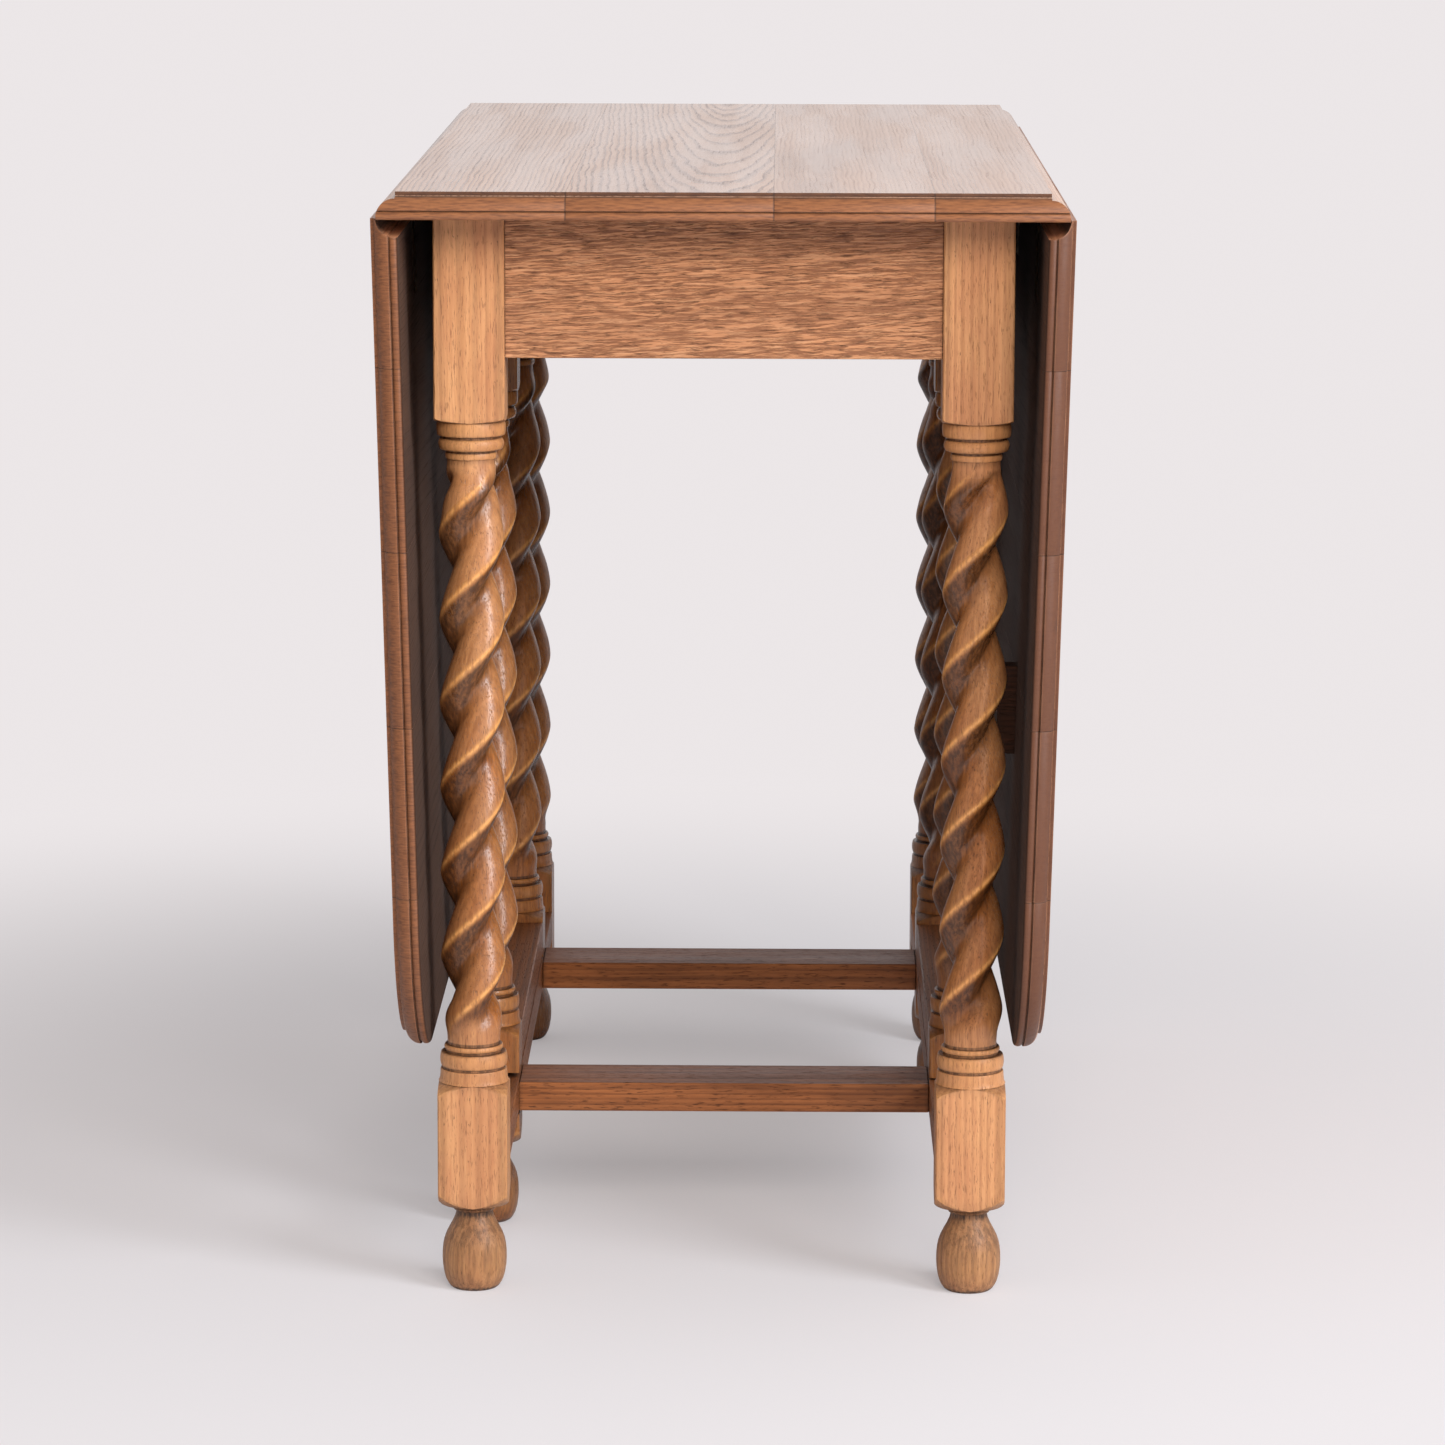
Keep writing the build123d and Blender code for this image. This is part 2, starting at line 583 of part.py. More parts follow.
def side_stretcher():
    """Right-hand stretcher, with its tenons, the gate leg's notch and the lower pivot hole."""
    height = (STRETCHER_BASE, STRETCHER_TOP)
    tenon_height = (height[0] + TENON_SHOULDER, height[1] - TENON_SHOULDER)
    stretcher = block(spread(POST_OFFSET, HALF_POST), spread(0, LEG_INNER), height)
    tenon_width = spread(POST_OFFSET, HALF_POST - TENON_EDGE)
    stretcher += block(tenon_width, spread(0, LEG_INNER + TENON_LENGTH), tenon_height)
    notch = (POST_OUTER - LAP_DEPTH, POST_OUTER + OVERRUN)
    stretcher -= block(notch, gate_leg_width(LAP_SIDE), (STRETCHER_BASE - OVERRUN, STRETCHER_TOP + OVERRUN))
    hole = (STRETCHER_TOP - PIVOT_STRETCHER_BITE - PIVOT_END_ROOM, STRETCHER_TOP + OVERRUN)
    stretcher -= upright_cylinder(PIVOT_RADIUS + PIVOT_FIT, *pivot_axis(), hole)
    return stretcher - cross_stretchers()


def corner_leg(name, side, end):
    """Named corner leg with its mortices; side and end are -1 or 1."""
    place = Pos(side * POST_OFFSET, end * LEG_SPREAD, 0)
    leg = place * post(name, FOOT_HEIGHT, UNDERSIDE, with_foot=True)
    rails = both_sides([side_rail(), side_stretcher()])
    return leg - (Part() + aprons() + rails)


def gate_lower_rail():
    """Lower rail of the right-hand gate, flush with the inner faces of its posts."""
    height = (GATE_RAIL_BASE, GATE_RAIL_BASE + GATE_RAIL_HEIGHT)
    width = (POST_INNER, POST_INNER + GATE_RAIL_WIDTH)
    tenon_height = (height[0] + TENON_SHOULDER, height[1] - TENON_SHOULDER)
    tenon_width = (width[0] + TENON_EDGE, width[1] - TENON_EDGE)
    reach = GATE_SPREAD - HALF_POST
    rail = block(width, spread(0, reach), height)
    return rail + block(tenon_width, spread(0, reach + GATE_TENON_LENGTH), tenon_height)


def gate_upper_rail():
    """Upper rail of the right-hand gate, under the side rail."""
    top = APRON_BASE - GATE_TOP_GAP
    height = (top - GATE_TOP_RAIL_HEIGHT, top)
    tenon_height = (height[0] + TENON_SHOULDER, height[1] - TENON_SHOULDER)
    reach = GATE_SPREAD - HALF_POST
    rail = block(spread(POST_OFFSET, SIDE_RAIL_THICKNESS / 2), spread(0, reach), height)
    tenon_width = spread(POST_OFFSET, SIDE_RAIL_THICKNESS / 2 - TENON_SHOULDER)
    return rail + block(tenon_width, spread(0, reach + GATE_TENON_LENGTH), tenon_height)


def pivot_pins():
    """Upper and lower pivot pins of the right-hand gate."""
    lower = (STRETCHER_TOP - PIVOT_STRETCHER_BITE, PIVOT_POST_BASE + PIVOT_BITE)
    upper = (PIVOT_POST_TOP - PIVOT_BITE, APRON_BASE + PIVOT_RAIL_BITE)
    return [upright_cylinder(PIVOT_RADIUS, *pivot_axis(), span) for span in (lower, upper)]


def washers():
    """Washers on the right-hand gate's pivots: one on the stretcher, one under the rail."""
    lower = (STRETCHER_TOP, STRETCHER_TOP + WASHER_THICKNESS)
    upper = (APRON_BASE - WASHER_THICKNESS, APRON_BASE)
    bore = PIVOT_RADIUS + PIVOT_FIT
    return [
        upright_cylinder(WASHER_RADIUS, *pivot_axis(), span) - upright_cylinder(bore, *pivot_axis(), span)
        for span in (lower, upper)
    ]


def pivot_post(name):
    """Named pivot post, in the place of the right-hand gate's."""
    x, y = pivot_axis()
    solid = Pos(x, y, 0) * post(name, PIVOT_POST_BASE, PIVOT_POST_TOP, with_foot=False)
    return solid - (Part() + [gate_lower_rail(), gate_upper_rail()] + pivot_pins())


def gate_leg(name):
    """Named gate leg, in the place of the right-hand one, notched for the rail and the stretcher."""
    place = Pos(POST_OFFSET, GATE_SPREAD, 0)
    solid = place * post(name, FOOT_HEIGHT, UNDERSIDE - GATE_LEG_DROP, with_foot=True)
    width = gate_leg_width(OVERRUN)
    web = RAIL_OUTER - SIDE_RAIL_HOUSING + GATE_LEG_CLEARANCE
    rail_notch = (APRON_BASE - GATE_TOP_GAP / 2, UNDERSIDE + OVERRUN)
    solid -= block((POST_INNER - OVERRUN, web), width, rail_notch)
    lap = POST_OUTER - LAP_DEPTH + GATE_LEG_CLEARANCE
    stretcher_notch = (STRETCHER_BASE - GATE_GAP, GATE_RAIL_BASE - GATE_LEG_CLEARANCE)
    solid -= block((POST_INNER - OVERRUN, lap), width, stretcher_notch)
    solid -= block(spread(POST_OFFSET, POST_SIZE), spread(GATE_SPREAD, POST_SIZE), (-OVERRUN, GATE_FOOT_LIFT))
    return solid - (Part() + [gate_lower_rail(), gate_upper_rail()])


def numbered(name, shapes):
    """Names for a row of like pieces."""
    return {f"{name}_{number}": [shape] for number, shape in enumerate(shapes, start=1)}


def frame_nodes():
    """Everything that stands still: top, legs, aprons, rails, stretchers and their fittings."""
    nodes = numbered("top_board", top_boards())
    for end, end_name in ((-1, "front"), (1, "back")):
        for side, side_name in ((-1, "left"), (1, "right")):
            name = f"leg_{end_name}_{side_name}"
            nodes[name] = [corner_leg(name, side, end)]
    for name, shapes in (("apron", aprons()), ("cross_stretcher", cross_stretchers())):
        nodes[f"{name}_front"] = shapes[:1]
        nodes[f"{name}_back"] = shapes[1:]
    nodes["glue_blocks"] = glue_blocks()
    nodes["glue_block_screws"] = glue_block_screws()
    return nodes


def right_frame_nodes():
    """Right-hand pieces of the frame that the left-hand side repeats."""
    return {
        "side_rail": [side_rail()],
        "side_stretcher": [side_stretcher()],
        "fixed_hinge_flaps": fixed_flaps(),
        "hinge_pins": hinge_pins(),
        "fixed_hinge_screws": fixed_flap_screws(),
        "pivot_washers": washers(),
    }


def right_leaf_nodes():
    """Right-hand leaf, hanging."""
    nodes = {
        name: lay_down(shapes)
        for name, shapes in numbered("leaf_board", leaf_boards()).items()
    }
    nodes["leaf_hinge_flaps"] = lay_down(leaf_flaps())
    nodes["leaf_hinge_screws"] = lay_down(leaf_flap_screws())
    nodes["leaf_stop_block"] = lay_down(stop_block())
    nodes["leaf_stop_screws"] = lay_down(stop_screws())
    return nodes


def gate_nodes(side):
    """Shut gate of one side, in the place of the right-hand one."""
    return {
        "gate_leg": [gate_leg(f"{side}_gate_leg")],
        "gate_pivot_post": [pivot_post(f"{side}_gate_pivot_post")],
        "gate_lower_rail": [gate_lower_rail()],
        "gate_upper_rail": [gate_upper_rail()],
        "gate_pivot_pins": pivot_pins(),
    }


def main():
    """Write each node's solids to its own file."""
    nodes = frame_nodes()
    repeated = right_frame_nodes() | right_leaf_nodes()
    for name, shapes in (repeated | gate_nodes("right")).items():
        nodes[f"right_{name}"] = shapes
    for name, shapes in (repeated | gate_nodes("left")).items():
        nodes[f"left_{name}"] = other_side(shapes)
    os.makedirs("parts", exist_ok=True)
    for name, shapes in nodes.items():
        shape = shapes[0] if len(shapes) == 1 else Compound(children=[Part() + one for one in shapes])
        export_step(shape, f"parts/{name}.step")


if __name__ == "__main__":
    main()
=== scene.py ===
import math

import bmesh
import bpy
from bpy.props import FloatProperty, FloatVectorProperty, PointerProperty
from mathutils import Matrix, Vector, noise


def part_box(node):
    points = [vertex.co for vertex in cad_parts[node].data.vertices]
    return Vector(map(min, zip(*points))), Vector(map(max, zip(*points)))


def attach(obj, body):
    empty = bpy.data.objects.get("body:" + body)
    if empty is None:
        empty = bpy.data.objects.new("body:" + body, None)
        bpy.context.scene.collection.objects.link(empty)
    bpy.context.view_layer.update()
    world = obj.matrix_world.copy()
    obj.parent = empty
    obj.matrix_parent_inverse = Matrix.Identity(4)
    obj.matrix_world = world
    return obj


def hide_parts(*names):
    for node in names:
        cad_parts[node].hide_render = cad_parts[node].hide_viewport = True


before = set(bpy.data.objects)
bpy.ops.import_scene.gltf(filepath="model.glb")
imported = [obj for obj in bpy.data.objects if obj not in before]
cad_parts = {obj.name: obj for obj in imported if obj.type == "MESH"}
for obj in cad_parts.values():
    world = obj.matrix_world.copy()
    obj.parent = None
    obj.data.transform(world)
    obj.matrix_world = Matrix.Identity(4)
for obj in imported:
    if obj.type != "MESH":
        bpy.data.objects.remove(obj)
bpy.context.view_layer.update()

bl_info = {
    "name": "Barley-Twist Drop Leaf Table",
    "version": (1, 0, 0),
    "blender": (4, 5, 0),
    "location": "3D View > Sidebar > Table",
    "description": "Dresses the packed drop leaf table in turned oak posts, finished boards and fittings",
    "category": "Object",
}

MM = 0.001
SIDES = ("left", "right")
ENDS = ("front", "back")

# How far each post's twist is turned about its axis, in degrees
TWIST_TURNS = {
    "leg_front_left": 58.0,
    "leg_front_right": -6.0,
    "leg_back_left": -29.0,
    "leg_back_right": -26.0,
    "left_gate_leg": 83.0,
    "right_gate_leg": 83.0,
    "left_gate_pivot_post": 86.0,
    "right_gate_pivot_post": 29.0,
}

# Points round a post: each quarter turn has a flat and a rounded arris
FLAT_STEPS = 16
ARRIS_STEPS = 8
QUARTER_STEPS = FLAT_STEPS + ARRIS_STEPS
RING_STEPS = 4 * QUARTER_STEPS
STEP_ANGLE = 2 * math.pi / RING_STEPS


def paint(red, green, blue):
    """Linear colour for a colour as it looks on a screen, each part from 0 to 255."""
    parts = [part / 255 for part in (red, green, blue)]
    return tuple(part / 12.92 if part <= 0.04045 else ((part + 0.055) / 1.055) ** 2.4 for part in parts)


def length_setting(name, description, default):
    """Property for a length, given in millimetres."""
    return FloatProperty(
        name=name, description=description, default=default * MM, unit="LENGTH", precision=4
    )


def angle_setting(name, description, default):
    """Property for an angle, given in degrees."""
    return FloatProperty(
        name=name, description=description, default=math.radians(default), subtype="ANGLE"
    )


def share_setting(name, description, default, low=0, high=1):
    """Property for a share of a whole."""
    return FloatProperty(
        name=name, description=description, default=default, min=low, max=high, subtype="FACTOR"
    )


def light_setting(name, description, default, unit="NONE"):
    """Property for the power of a lamp, in watts, or for a plain strength."""
    return FloatProperty(name=name, description=description, default=default, unit=unit)


def place_setting(name, description, default):
    """Property for a place, given in metres."""
    return FloatVectorProperty(
        name=name, description=description, default=default, subtype="XYZ", unit="LENGTH"
    )


def colour_setting(name, description, default):
    """Property for a colour, given as it looks on a screen."""
    return FloatVectorProperty(
        name=name, description=description, default=paint(*default), subtype="COLOR", min=0, max=1
    )


class TablePostSettings(bpy.types.PropertyGroup):
    """Shape of the legs and posts."""

    # The gates and the back legs stand further into the table's shade; this setting paints them darker as
    # shade
    far_shade: share_setting("Far stain", "How much darker the gates and the back legs are stained", 0.9)
    arris: length_setting("Arris", "Cut-back of the square blocks' worn edges", 0.55)
    edge_wear: length_setting("Edge wear", "How unevenly the edges of the blocks are worn", 0.35)
    lower_block_top: length_setting("Lower block top", "Height of the lower square block's top", 141.0)
    upper_block_base: length_setting("Upper block base", "Height of the upper square block's base", 581.0)
    foot_height: length_setting("Foot height", "Height of the turned foot", 58.0)
    shoulder: length_setting("Shoulder", "Height of the rounded shoulders beside the rings", 3.5)
    foot_shoulder: length_setting("Foot shoulder", "Height of the rounded shoulders over the foot", 10.5)
    strand_radius: length_setting("Strand radius", "Radius of each of the two strands", 13.6)
    strand_offset: length_setting("Strand offset", "Distance of a strand from the post's axis", 7.7)
    twist_pitch: length_setting("Twist pitch", "Height of one full turn", 112.5)
    twist_zero: length_setting("Twist zero", "Height from which each post's turn is measured", 186.0)
    valley_blend: length_setting("Valley blend", "Rounding at the bottom of the hollow", 4.5)
    crest: angle_setting("Crest angle", "Sharpness of the ridge along each strand", 10)
    lean: share_setting(
        "Lean", "Share of the way down from one ridge to the next where the hollow is deepest",
        0.38, 0.3, 0.7
    )
    carving: length_setting("Carving", "Unevenness left by carving the twist by hand", 0.35)


class TableWoodSettings(bpy.types.PropertyGroup):
    """Colours of the oak."""

    post_light: colour_setting("Post light", "Worn wood of the posts", (212, 155, 106))
    post_middle: colour_setting("Post middle", "Main tone of the posts", (192, 134, 87))
    post_blush: colour_setting("Post blush", "Redder patches of the posts", (176, 114, 76))
    post_dark: colour_setting("Post dark", "Grain lines of the posts", (110, 70, 44))
    twist_middle: colour_setting("Twist middle", "Polished wood of the twists", (192, 118, 60))
    twist_dark: colour_setting("Twist dark", "Stained wood of the twists", (128, 72, 32))
    crest: colour_setting("Crest", "Worn ridges of the twists", (236, 170, 100))
    # The same dark is used for painted shade: in corners, under the twists' ridges and rings, on the leaves'
    # inner faces and on the top's moulded fillet
    hollow: colour_setting("Hollows", "Old polish and dirt in the hollows", (40, 23, 13))
    apron_light: colour_setting("Apron light", "Pale figure of the aprons", (216, 158, 114))
    apron_middle: colour_setting("Apron middle", "Main tone of the aprons", (192, 132, 90))
    apron_dark: colour_setting("Apron dark", "Dark figure of the aprons", (130, 82, 52))
    # The top's light and middle tones are paler than its wood: part of the wax's reflection of the pale room
    # is painted into them
    top_light: colour_setting("Top light", "Pale wood of the top", (222, 180, 152))
    top_middle: colour_setting("Top middle", "Main tone of the top", (204, 161, 132))
    top_dark: colour_setting("Top dark", "Grain lines of the top", (112, 76, 56))
    mould_light: colour_setting("Mould light", "Pale marks on the moulded ends of the top", (148, 92, 52))
    mould_dark: colour_setting("Mould dark", "Dark marks on the moulded ends of the top", (98, 54, 28))
    edge_light: colour_setting("Edge light", "Pale marks on the moulded ends of the leaves", (134, 82, 48))
    edge_dark: colour_setting("Edge dark", "Dark marks on the moulded ends of the leaves", (90, 51, 29))
    # The right leaf's ends are painted darker than the left's, as shade against the stronger light the
    # window lamp throws on them
    edge_shade: colour_setting("Edge shade", "Pale marks on the ends of the darker right leaf", (98, 58, 35))
    leaf_light: colour_setting("Leaf light", "Worn wood of the leaves", (190, 134, 98))
    leaf_middle: colour_setting("Leaf middle", "Main tone of the leaves", (162, 108, 76))
    leaf_dark: colour_setting("Leaf dark", "Grain lines of the leaves", (88, 50, 30))
    rail_light: colour_setting("Rail light", "Worn wood of the rails", (176, 108, 62))
    rail_middle: colour_setting("Rail middle", "Main tone of the rails", (134, 79, 44))
    rail_dark: colour_setting("Rail dark", "Grain lines of the rails", (70, 39, 24))
    hidden_middle: colour_setting("Hidden middle", "Main tone of the wood under the top", (104, 66, 42))
    stop_dark: colour_setting("Stop dark", "Dark wood of the stop blocks on the leaves", (54, 32, 22))


class TableMetalSettings(bpy.types.PropertyGroup):
    """Colours of the fittings."""

    brass: colour_setting("Brass", "Aged brass of the hinges", (150, 118, 66))
    brass_tarnish: colour_setting("Brass tarnish", "Brown tarnish of the hinges", (74, 54, 32))
    steel: colour_setting("Steel", "Darkened steel of the screws and pins", (96, 92, 88))
    steel_tarnish: colour_setting("Steel tarnish", "Dark tarnish of the screws and pins", (52, 42, 36))


class TableEdgeSettings(bpy.types.PropertyGroup):
    """Softened edges of the boards, rails and blocks."""

    board_edge: length_setting("Board edge", "Edges of the top and the leaves", 0.3)
    rail_edge: length_setting("Rail edge", "Edges of the aprons and the side rails", 0.7)
    stretcher_edge: length_setting("Stretcher edge", "Edges of the stretchers and the gate rails", 0.9)
    block_edge: length_setting("Block edge", "Edges of the glue blocks and the stop blocks", 0.6)


class TableStageSettings(bpy.types.PropertyGroup):
    """Floor, lights and camera."""

    floor: colour_setting("Floor", "Pale floor and background", (226, 221, 222))
    paleness: light_setting("Paleness", "Brightness of the background", 1.1)
    shadow_reach: length_setting("Shadow reach", "How far out the floor still takes shadows", 1500.0)
    window_power: light_setting("Window power", "Power of the main light", 185.0, "POWER")
    window_place: place_setting("Window place", "Middle of the main light", (3.2, -3.0, 2.5))
    front_power: light_setting("Front power", "Power of the front light", 112.0, "POWER")
    front_place: place_setting("Front place", "Middle of the front light", (0.8, -4.0, 2.2))
    sky_strength: light_setting("Room light", "Strength of the light from all round", 0.45)
    camera_place: place_setting("Camera place", "Where the camera stands", (0.03694, -4.09466, 1.01894))
    camera_lens: FloatProperty(
        name="Camera lens", description="Focal length of the camera", default=143.37, unit="CAMERA"
    )
    camera_pitch: angle_setting("Camera pitch", "How far the camera looks down", 9.713)
    camera_turn: angle_setting("Camera turn", "How far the camera turns to the left", 0.573)
    camera_roll: angle_setting("Camera roll", "Tilt of the camera about its line of sight", 0.1675)


# ---------------------------------------------------------------- finishes


class Finish:
    """Nodes of one material or of the world, built a node at a time."""

    def __init__(self, owner):
        self.owner = owner
        self.owner.use_nodes = True
        self.tree = self.owner.node_tree
        self.tree.nodes.clear()

    def feed(self, socket, value):
        """Link or set one input."""
        if isinstance(value, bpy.types.NodeSocket):
            self.tree.links.new(value, socket)
        elif socket.type == "RGBA" and len(value) == 3:
            socket.default_value = (*value, 1.0)
        else:
            socket.default_value = value

    def add(self, kind, inputs=None, output=0, **settings):
        """Add a node and return one of its outputs."""
        node = self.tree.nodes.new("ShaderNode" + kind)
        for setting, value in settings.items():
            setattr(node, setting, value)
        for socket, value in (inputs or {}).items():
            self.feed(node.inputs[socket], value)
        return node.outputs[output]

    def math(self, operation, first, second=0.0):
        """Arithmetic on numbers."""
        return self.add("Math", {0: first, 1: second}, operation=operation)

    def vector(self, operation, first, second):
        """Arithmetic on vectors."""
        return self.add("VectorMath", {0: first, 1: second}, operation=operation)

    def remap(self, value, low, high, start=0.0, end=1.0):
        """Ease a value from one range to another."""
        inputs = {"Value": value, "From Min": low, "From Max": high, "To Min": start, "To Max": end}
        return self.add("MapRange", inputs, interpolation_type="SMOOTHSTEP")

    def mix(self, factor, first, second):
        """Mix two colours."""
        return self.add("Mix", {0: factor, 6: first, 7: second}, 2, data_type="RGBA")

    def noise(self, vector, scale, detail, rough, distortion=0.0, output=0):
        """Cloudy noise."""
        inputs = {
            "Vector": vector,
            "Scale": scale,
            "Detail": detail,
            "Roughness": rough,
            "Distortion": distortion,
        }
        return self.add("TexNoise", inputs, output)

    def mapped(self, vector, place=(0, 0, 0), turn=(0, 0, 0), scale=(1, 1, 1)):
        """Move, turn and scale a pattern."""
        inputs = {"Vector": vector, "Location": place, "Rotation": turn, "Scale": scale}
        return self.add("Mapping", inputs)

    def attribute(self, name):
        """A number stored on the mesh."""
        return self.add("Attribute", None, 2, attribute_name=name)

    def surface(self, **values):
        """Close the material with one main shader."""
        shader = self.tree.nodes.new("ShaderNodeBsdfPrincipled")
        for socket, value in values.items():
            self.feed(shader.inputs[socket.replace("_", " ")], value)
        out = self.tree.nodes.new("ShaderNodeOutputMaterial")
        self.tree.links.new(shader.outputs[0], out.inputs["Surface"])
        return self.owner


def grain_turn(along):
    """Turn that lays a pattern's long direction along an axis of the table."""
    return {"X": (0, math.pi / 2, 0), "Y": (math.pi / 2, 0, 0), "Z": (0, 0, 0)}[along]


class Oak(Finish):
    """Waxed oak; its grain runs along the third axis of the pattern."""

    def __init__(self, name, along, centre=(0, 0, 0), tilt=(0, 0, 0), wander=0.008, tremble=0.0016):
        super().__init__(bpy.data.materials.new(name))
        self.place = self.add("TexCoord", None, 3)
        self.centred = self.vector("SUBTRACT", self.place, centre)
        lined = self.mapped(self.centred, turn=grain_turn(along))
        tilted = self.mapped(lined, turn=tilt)
        wandering = self.drift(tilted, (5, 5, 1.3), wander)
        self.wood = self.drift(wandering, (60, 60, 14), tremble)

    def drift(self, vector, scale, reach):
        """Let a pattern wander to both sides of its grain."""
        cloud = self.noise(self.mapped(vector, scale=scale), 1.0, 3, 0.55, output=1)
        cloud = self.vector("SUBTRACT", cloud, (0.5, 0.5, 0.5))
        return self.vector("ADD", vector, self.vector("MULTIPLY", cloud, (reach, reach, 0.0)))

    def growth(self, pith, spacing):
        """Early and late wood of growth rings round a pith beside the piece."""
        radial = self.vector("MULTIPLY", self.vector("ADD", self.wood, (*pith, 0)), (1, 1, 0))
        distance = self.add("VectorMath", {0: radial}, 1, operation="LENGTH")
        rings = self.math("DIVIDE", distance, spacing)
        uneven = self.noise(self.math("MULTIPLY", rings, 0.23), 1.0, 2, 0.5)
        cycle = self.math("FRACT", self.math("ADD", rings, self.math("MULTIPLY", uneven, 1.5)))
        early = self.math("MULTIPLY", self.remap(cycle, 0.0, 0.16), self.remap(cycle, 0.62, 0.2))
        return early, self.remap(cycle, 0.55, 0.98)

    def lines(self, across, along, low, high, place=(0, 0, 0), distortion=0.0):
        """Short strokes along the grain; their size comes from the two scales."""
        stretched = self.mapped(self.wood, place=place, scale=(across, across, along))
        return self.remap(self.noise(stretched, 1.0, 3, 0.6, distortion), low, high)

    def cloud(self, scale, low, high, place=(0, 0, 0), stretch=0.35):
        """Blotches, longer along the grain."""
        stretched = self.mapped(self.wood, place=place, scale=(1, 1, stretch))
        return self.remap(self.noise(stretched, scale, 4, 0.58), low, high)

    def rubbed_edges(self, patches=40):
        """Mask of the outer edges where hands and cloths rub, broken up into patches."""
        soft = self.add("Bevel", {"Radius": 1.8 * MM}, samples=4)
        flat = self.add("NewGeometry", None, 1)
        facing = self.add("VectorMath", {0: soft, 1: flat}, 1, operation="DOT_PRODUCT")
        edges = self.remap(self.math("SUBTRACT", 1.0, facing), 0.004, 0.12)
        return self.math("MULTIPLY", edges, self.cloud(patches, 0.35, 0.60, (5, 2, 9)))

    def dusty_shaded_corners(self):
        """Mask of the inner corners, found from how shut in they are: dirt and wax gather there, and it also
        paints their shade.
        """
        open_sky = self.add("AmbientOcclusion", {"Distance": 7 * MM}, 1, samples=4)
        return self.remap(open_sky, 0.80, 0.25)

    def seams(self, axis, places):
        """Mask of the glued joints that cross the piece at the given places."""
        reach = 0.9 * MM
        part = self.add("SeparateXYZ", {0: self.place}, "XYZ".index(axis))
        mask = 0.0
        for place in places:
            gap = self.math("ABSOLUTE", self.math("SUBTRACT", part, place))
            mask = self.math("MAXIMUM", self.remap(gap, reach, 0.25 * reach), mask)
        return mask

    def ends(self):
        """Mask of the faces that cut across the grain of a board."""
        normal = self.add("TexCoord", None, 1)
        across = self.add("SeparateXYZ", {0: normal}, 1)
        return self.remap(self.math("ABSOLUTE", across), 0.20, 0.32)

    def hatching(self, slope, low, high):
        """Fine saw and plane marks across the ends of a board."""
        marks = self.mapped(self.centred, turn=(0, slope, 0), scale=(110, 300, 900))
        return self.remap(self.noise(marks, 1.0, 3, 0.6), low, high)

    def shade(self, colour, mask, strength, other):
        """Mix in another colour where a mask says so."""
        return self.mix(self.math("MULTIPLY", mask, strength), colour, other)

    def relief(self, fibres, pores, depth=0.9):
        """Height of the surface: the fibres stand up a little and the pores are sunk."""
        raised = self.math("MULTIPLY", fibres, 0.3)
        return self.math("SUBTRACT", raised, self.math("MULTIPLY", pores, depth))

    def close(self, colour, height, shine, pores, bump=0.55, depth=0.35 * MM, **sockets):
        """Finish the wood with its gloss and its relief."""
        blotchy = self.cloud(30, 0.35, 0.65, (4, 4, 1), 0.08)
        rough = self.math("ADD", self.math("MULTIPLY", blotchy, 0.08), self.math("MULTIPLY", pores, 0.22))
        rough = self.math("ADD", rough, shine)
        bumped = self.add("Bump", {"Strength": bump, "Distance": depth, "Height": height})
        return self.surface(Base_Color=colour, Roughness=rough, Normal=bumped, **sockets)


def block_tone(make, wood, fibres, pores):
    """Colour of the pale worn blocks and feet of the posts."""
    early, late = make.growth((0.30, 0.17), 4.6 * MM)
    specks = make.lines(700, 170, 0.65, 0.74, (3, 7, 1))
    tone = make.mix(make.math("MULTIPLY", fibres, 0.75), wood.post_middle, wood.post_light)
    tone = make.shade(tone, make.cloud(22, 0.42, 0.66, (2, 5, 8)), 0.60, wood.post_blush)
    tone = make.shade(tone, make.lines(900, 60, 0.50, 0.68, (4, 4, 2)), 0.45, wood.post_blush)
    tone = make.shade(tone, early, 0.22, wood.post_dark)
    tone = make.shade(tone, late, 0.18, wood.post_light)
    tone = make.shade(tone, pores, 0.58, wood.post_dark)
    return make.shade(tone, specks, 0.75, wood.hollow)


def twist_tone(make, wood, fibres, pores, patches):
    """Colour of the dark polished twists."""
    tone = make.mix(make.math("MULTIPLY", fibres, 0.5), wood.twist_dark, wood.twist_middle)
    tone = make.shade(tone, pores, 0.7, wood.hollow)
    return make.shade(tone, patches, 0.25, wood.hollow)


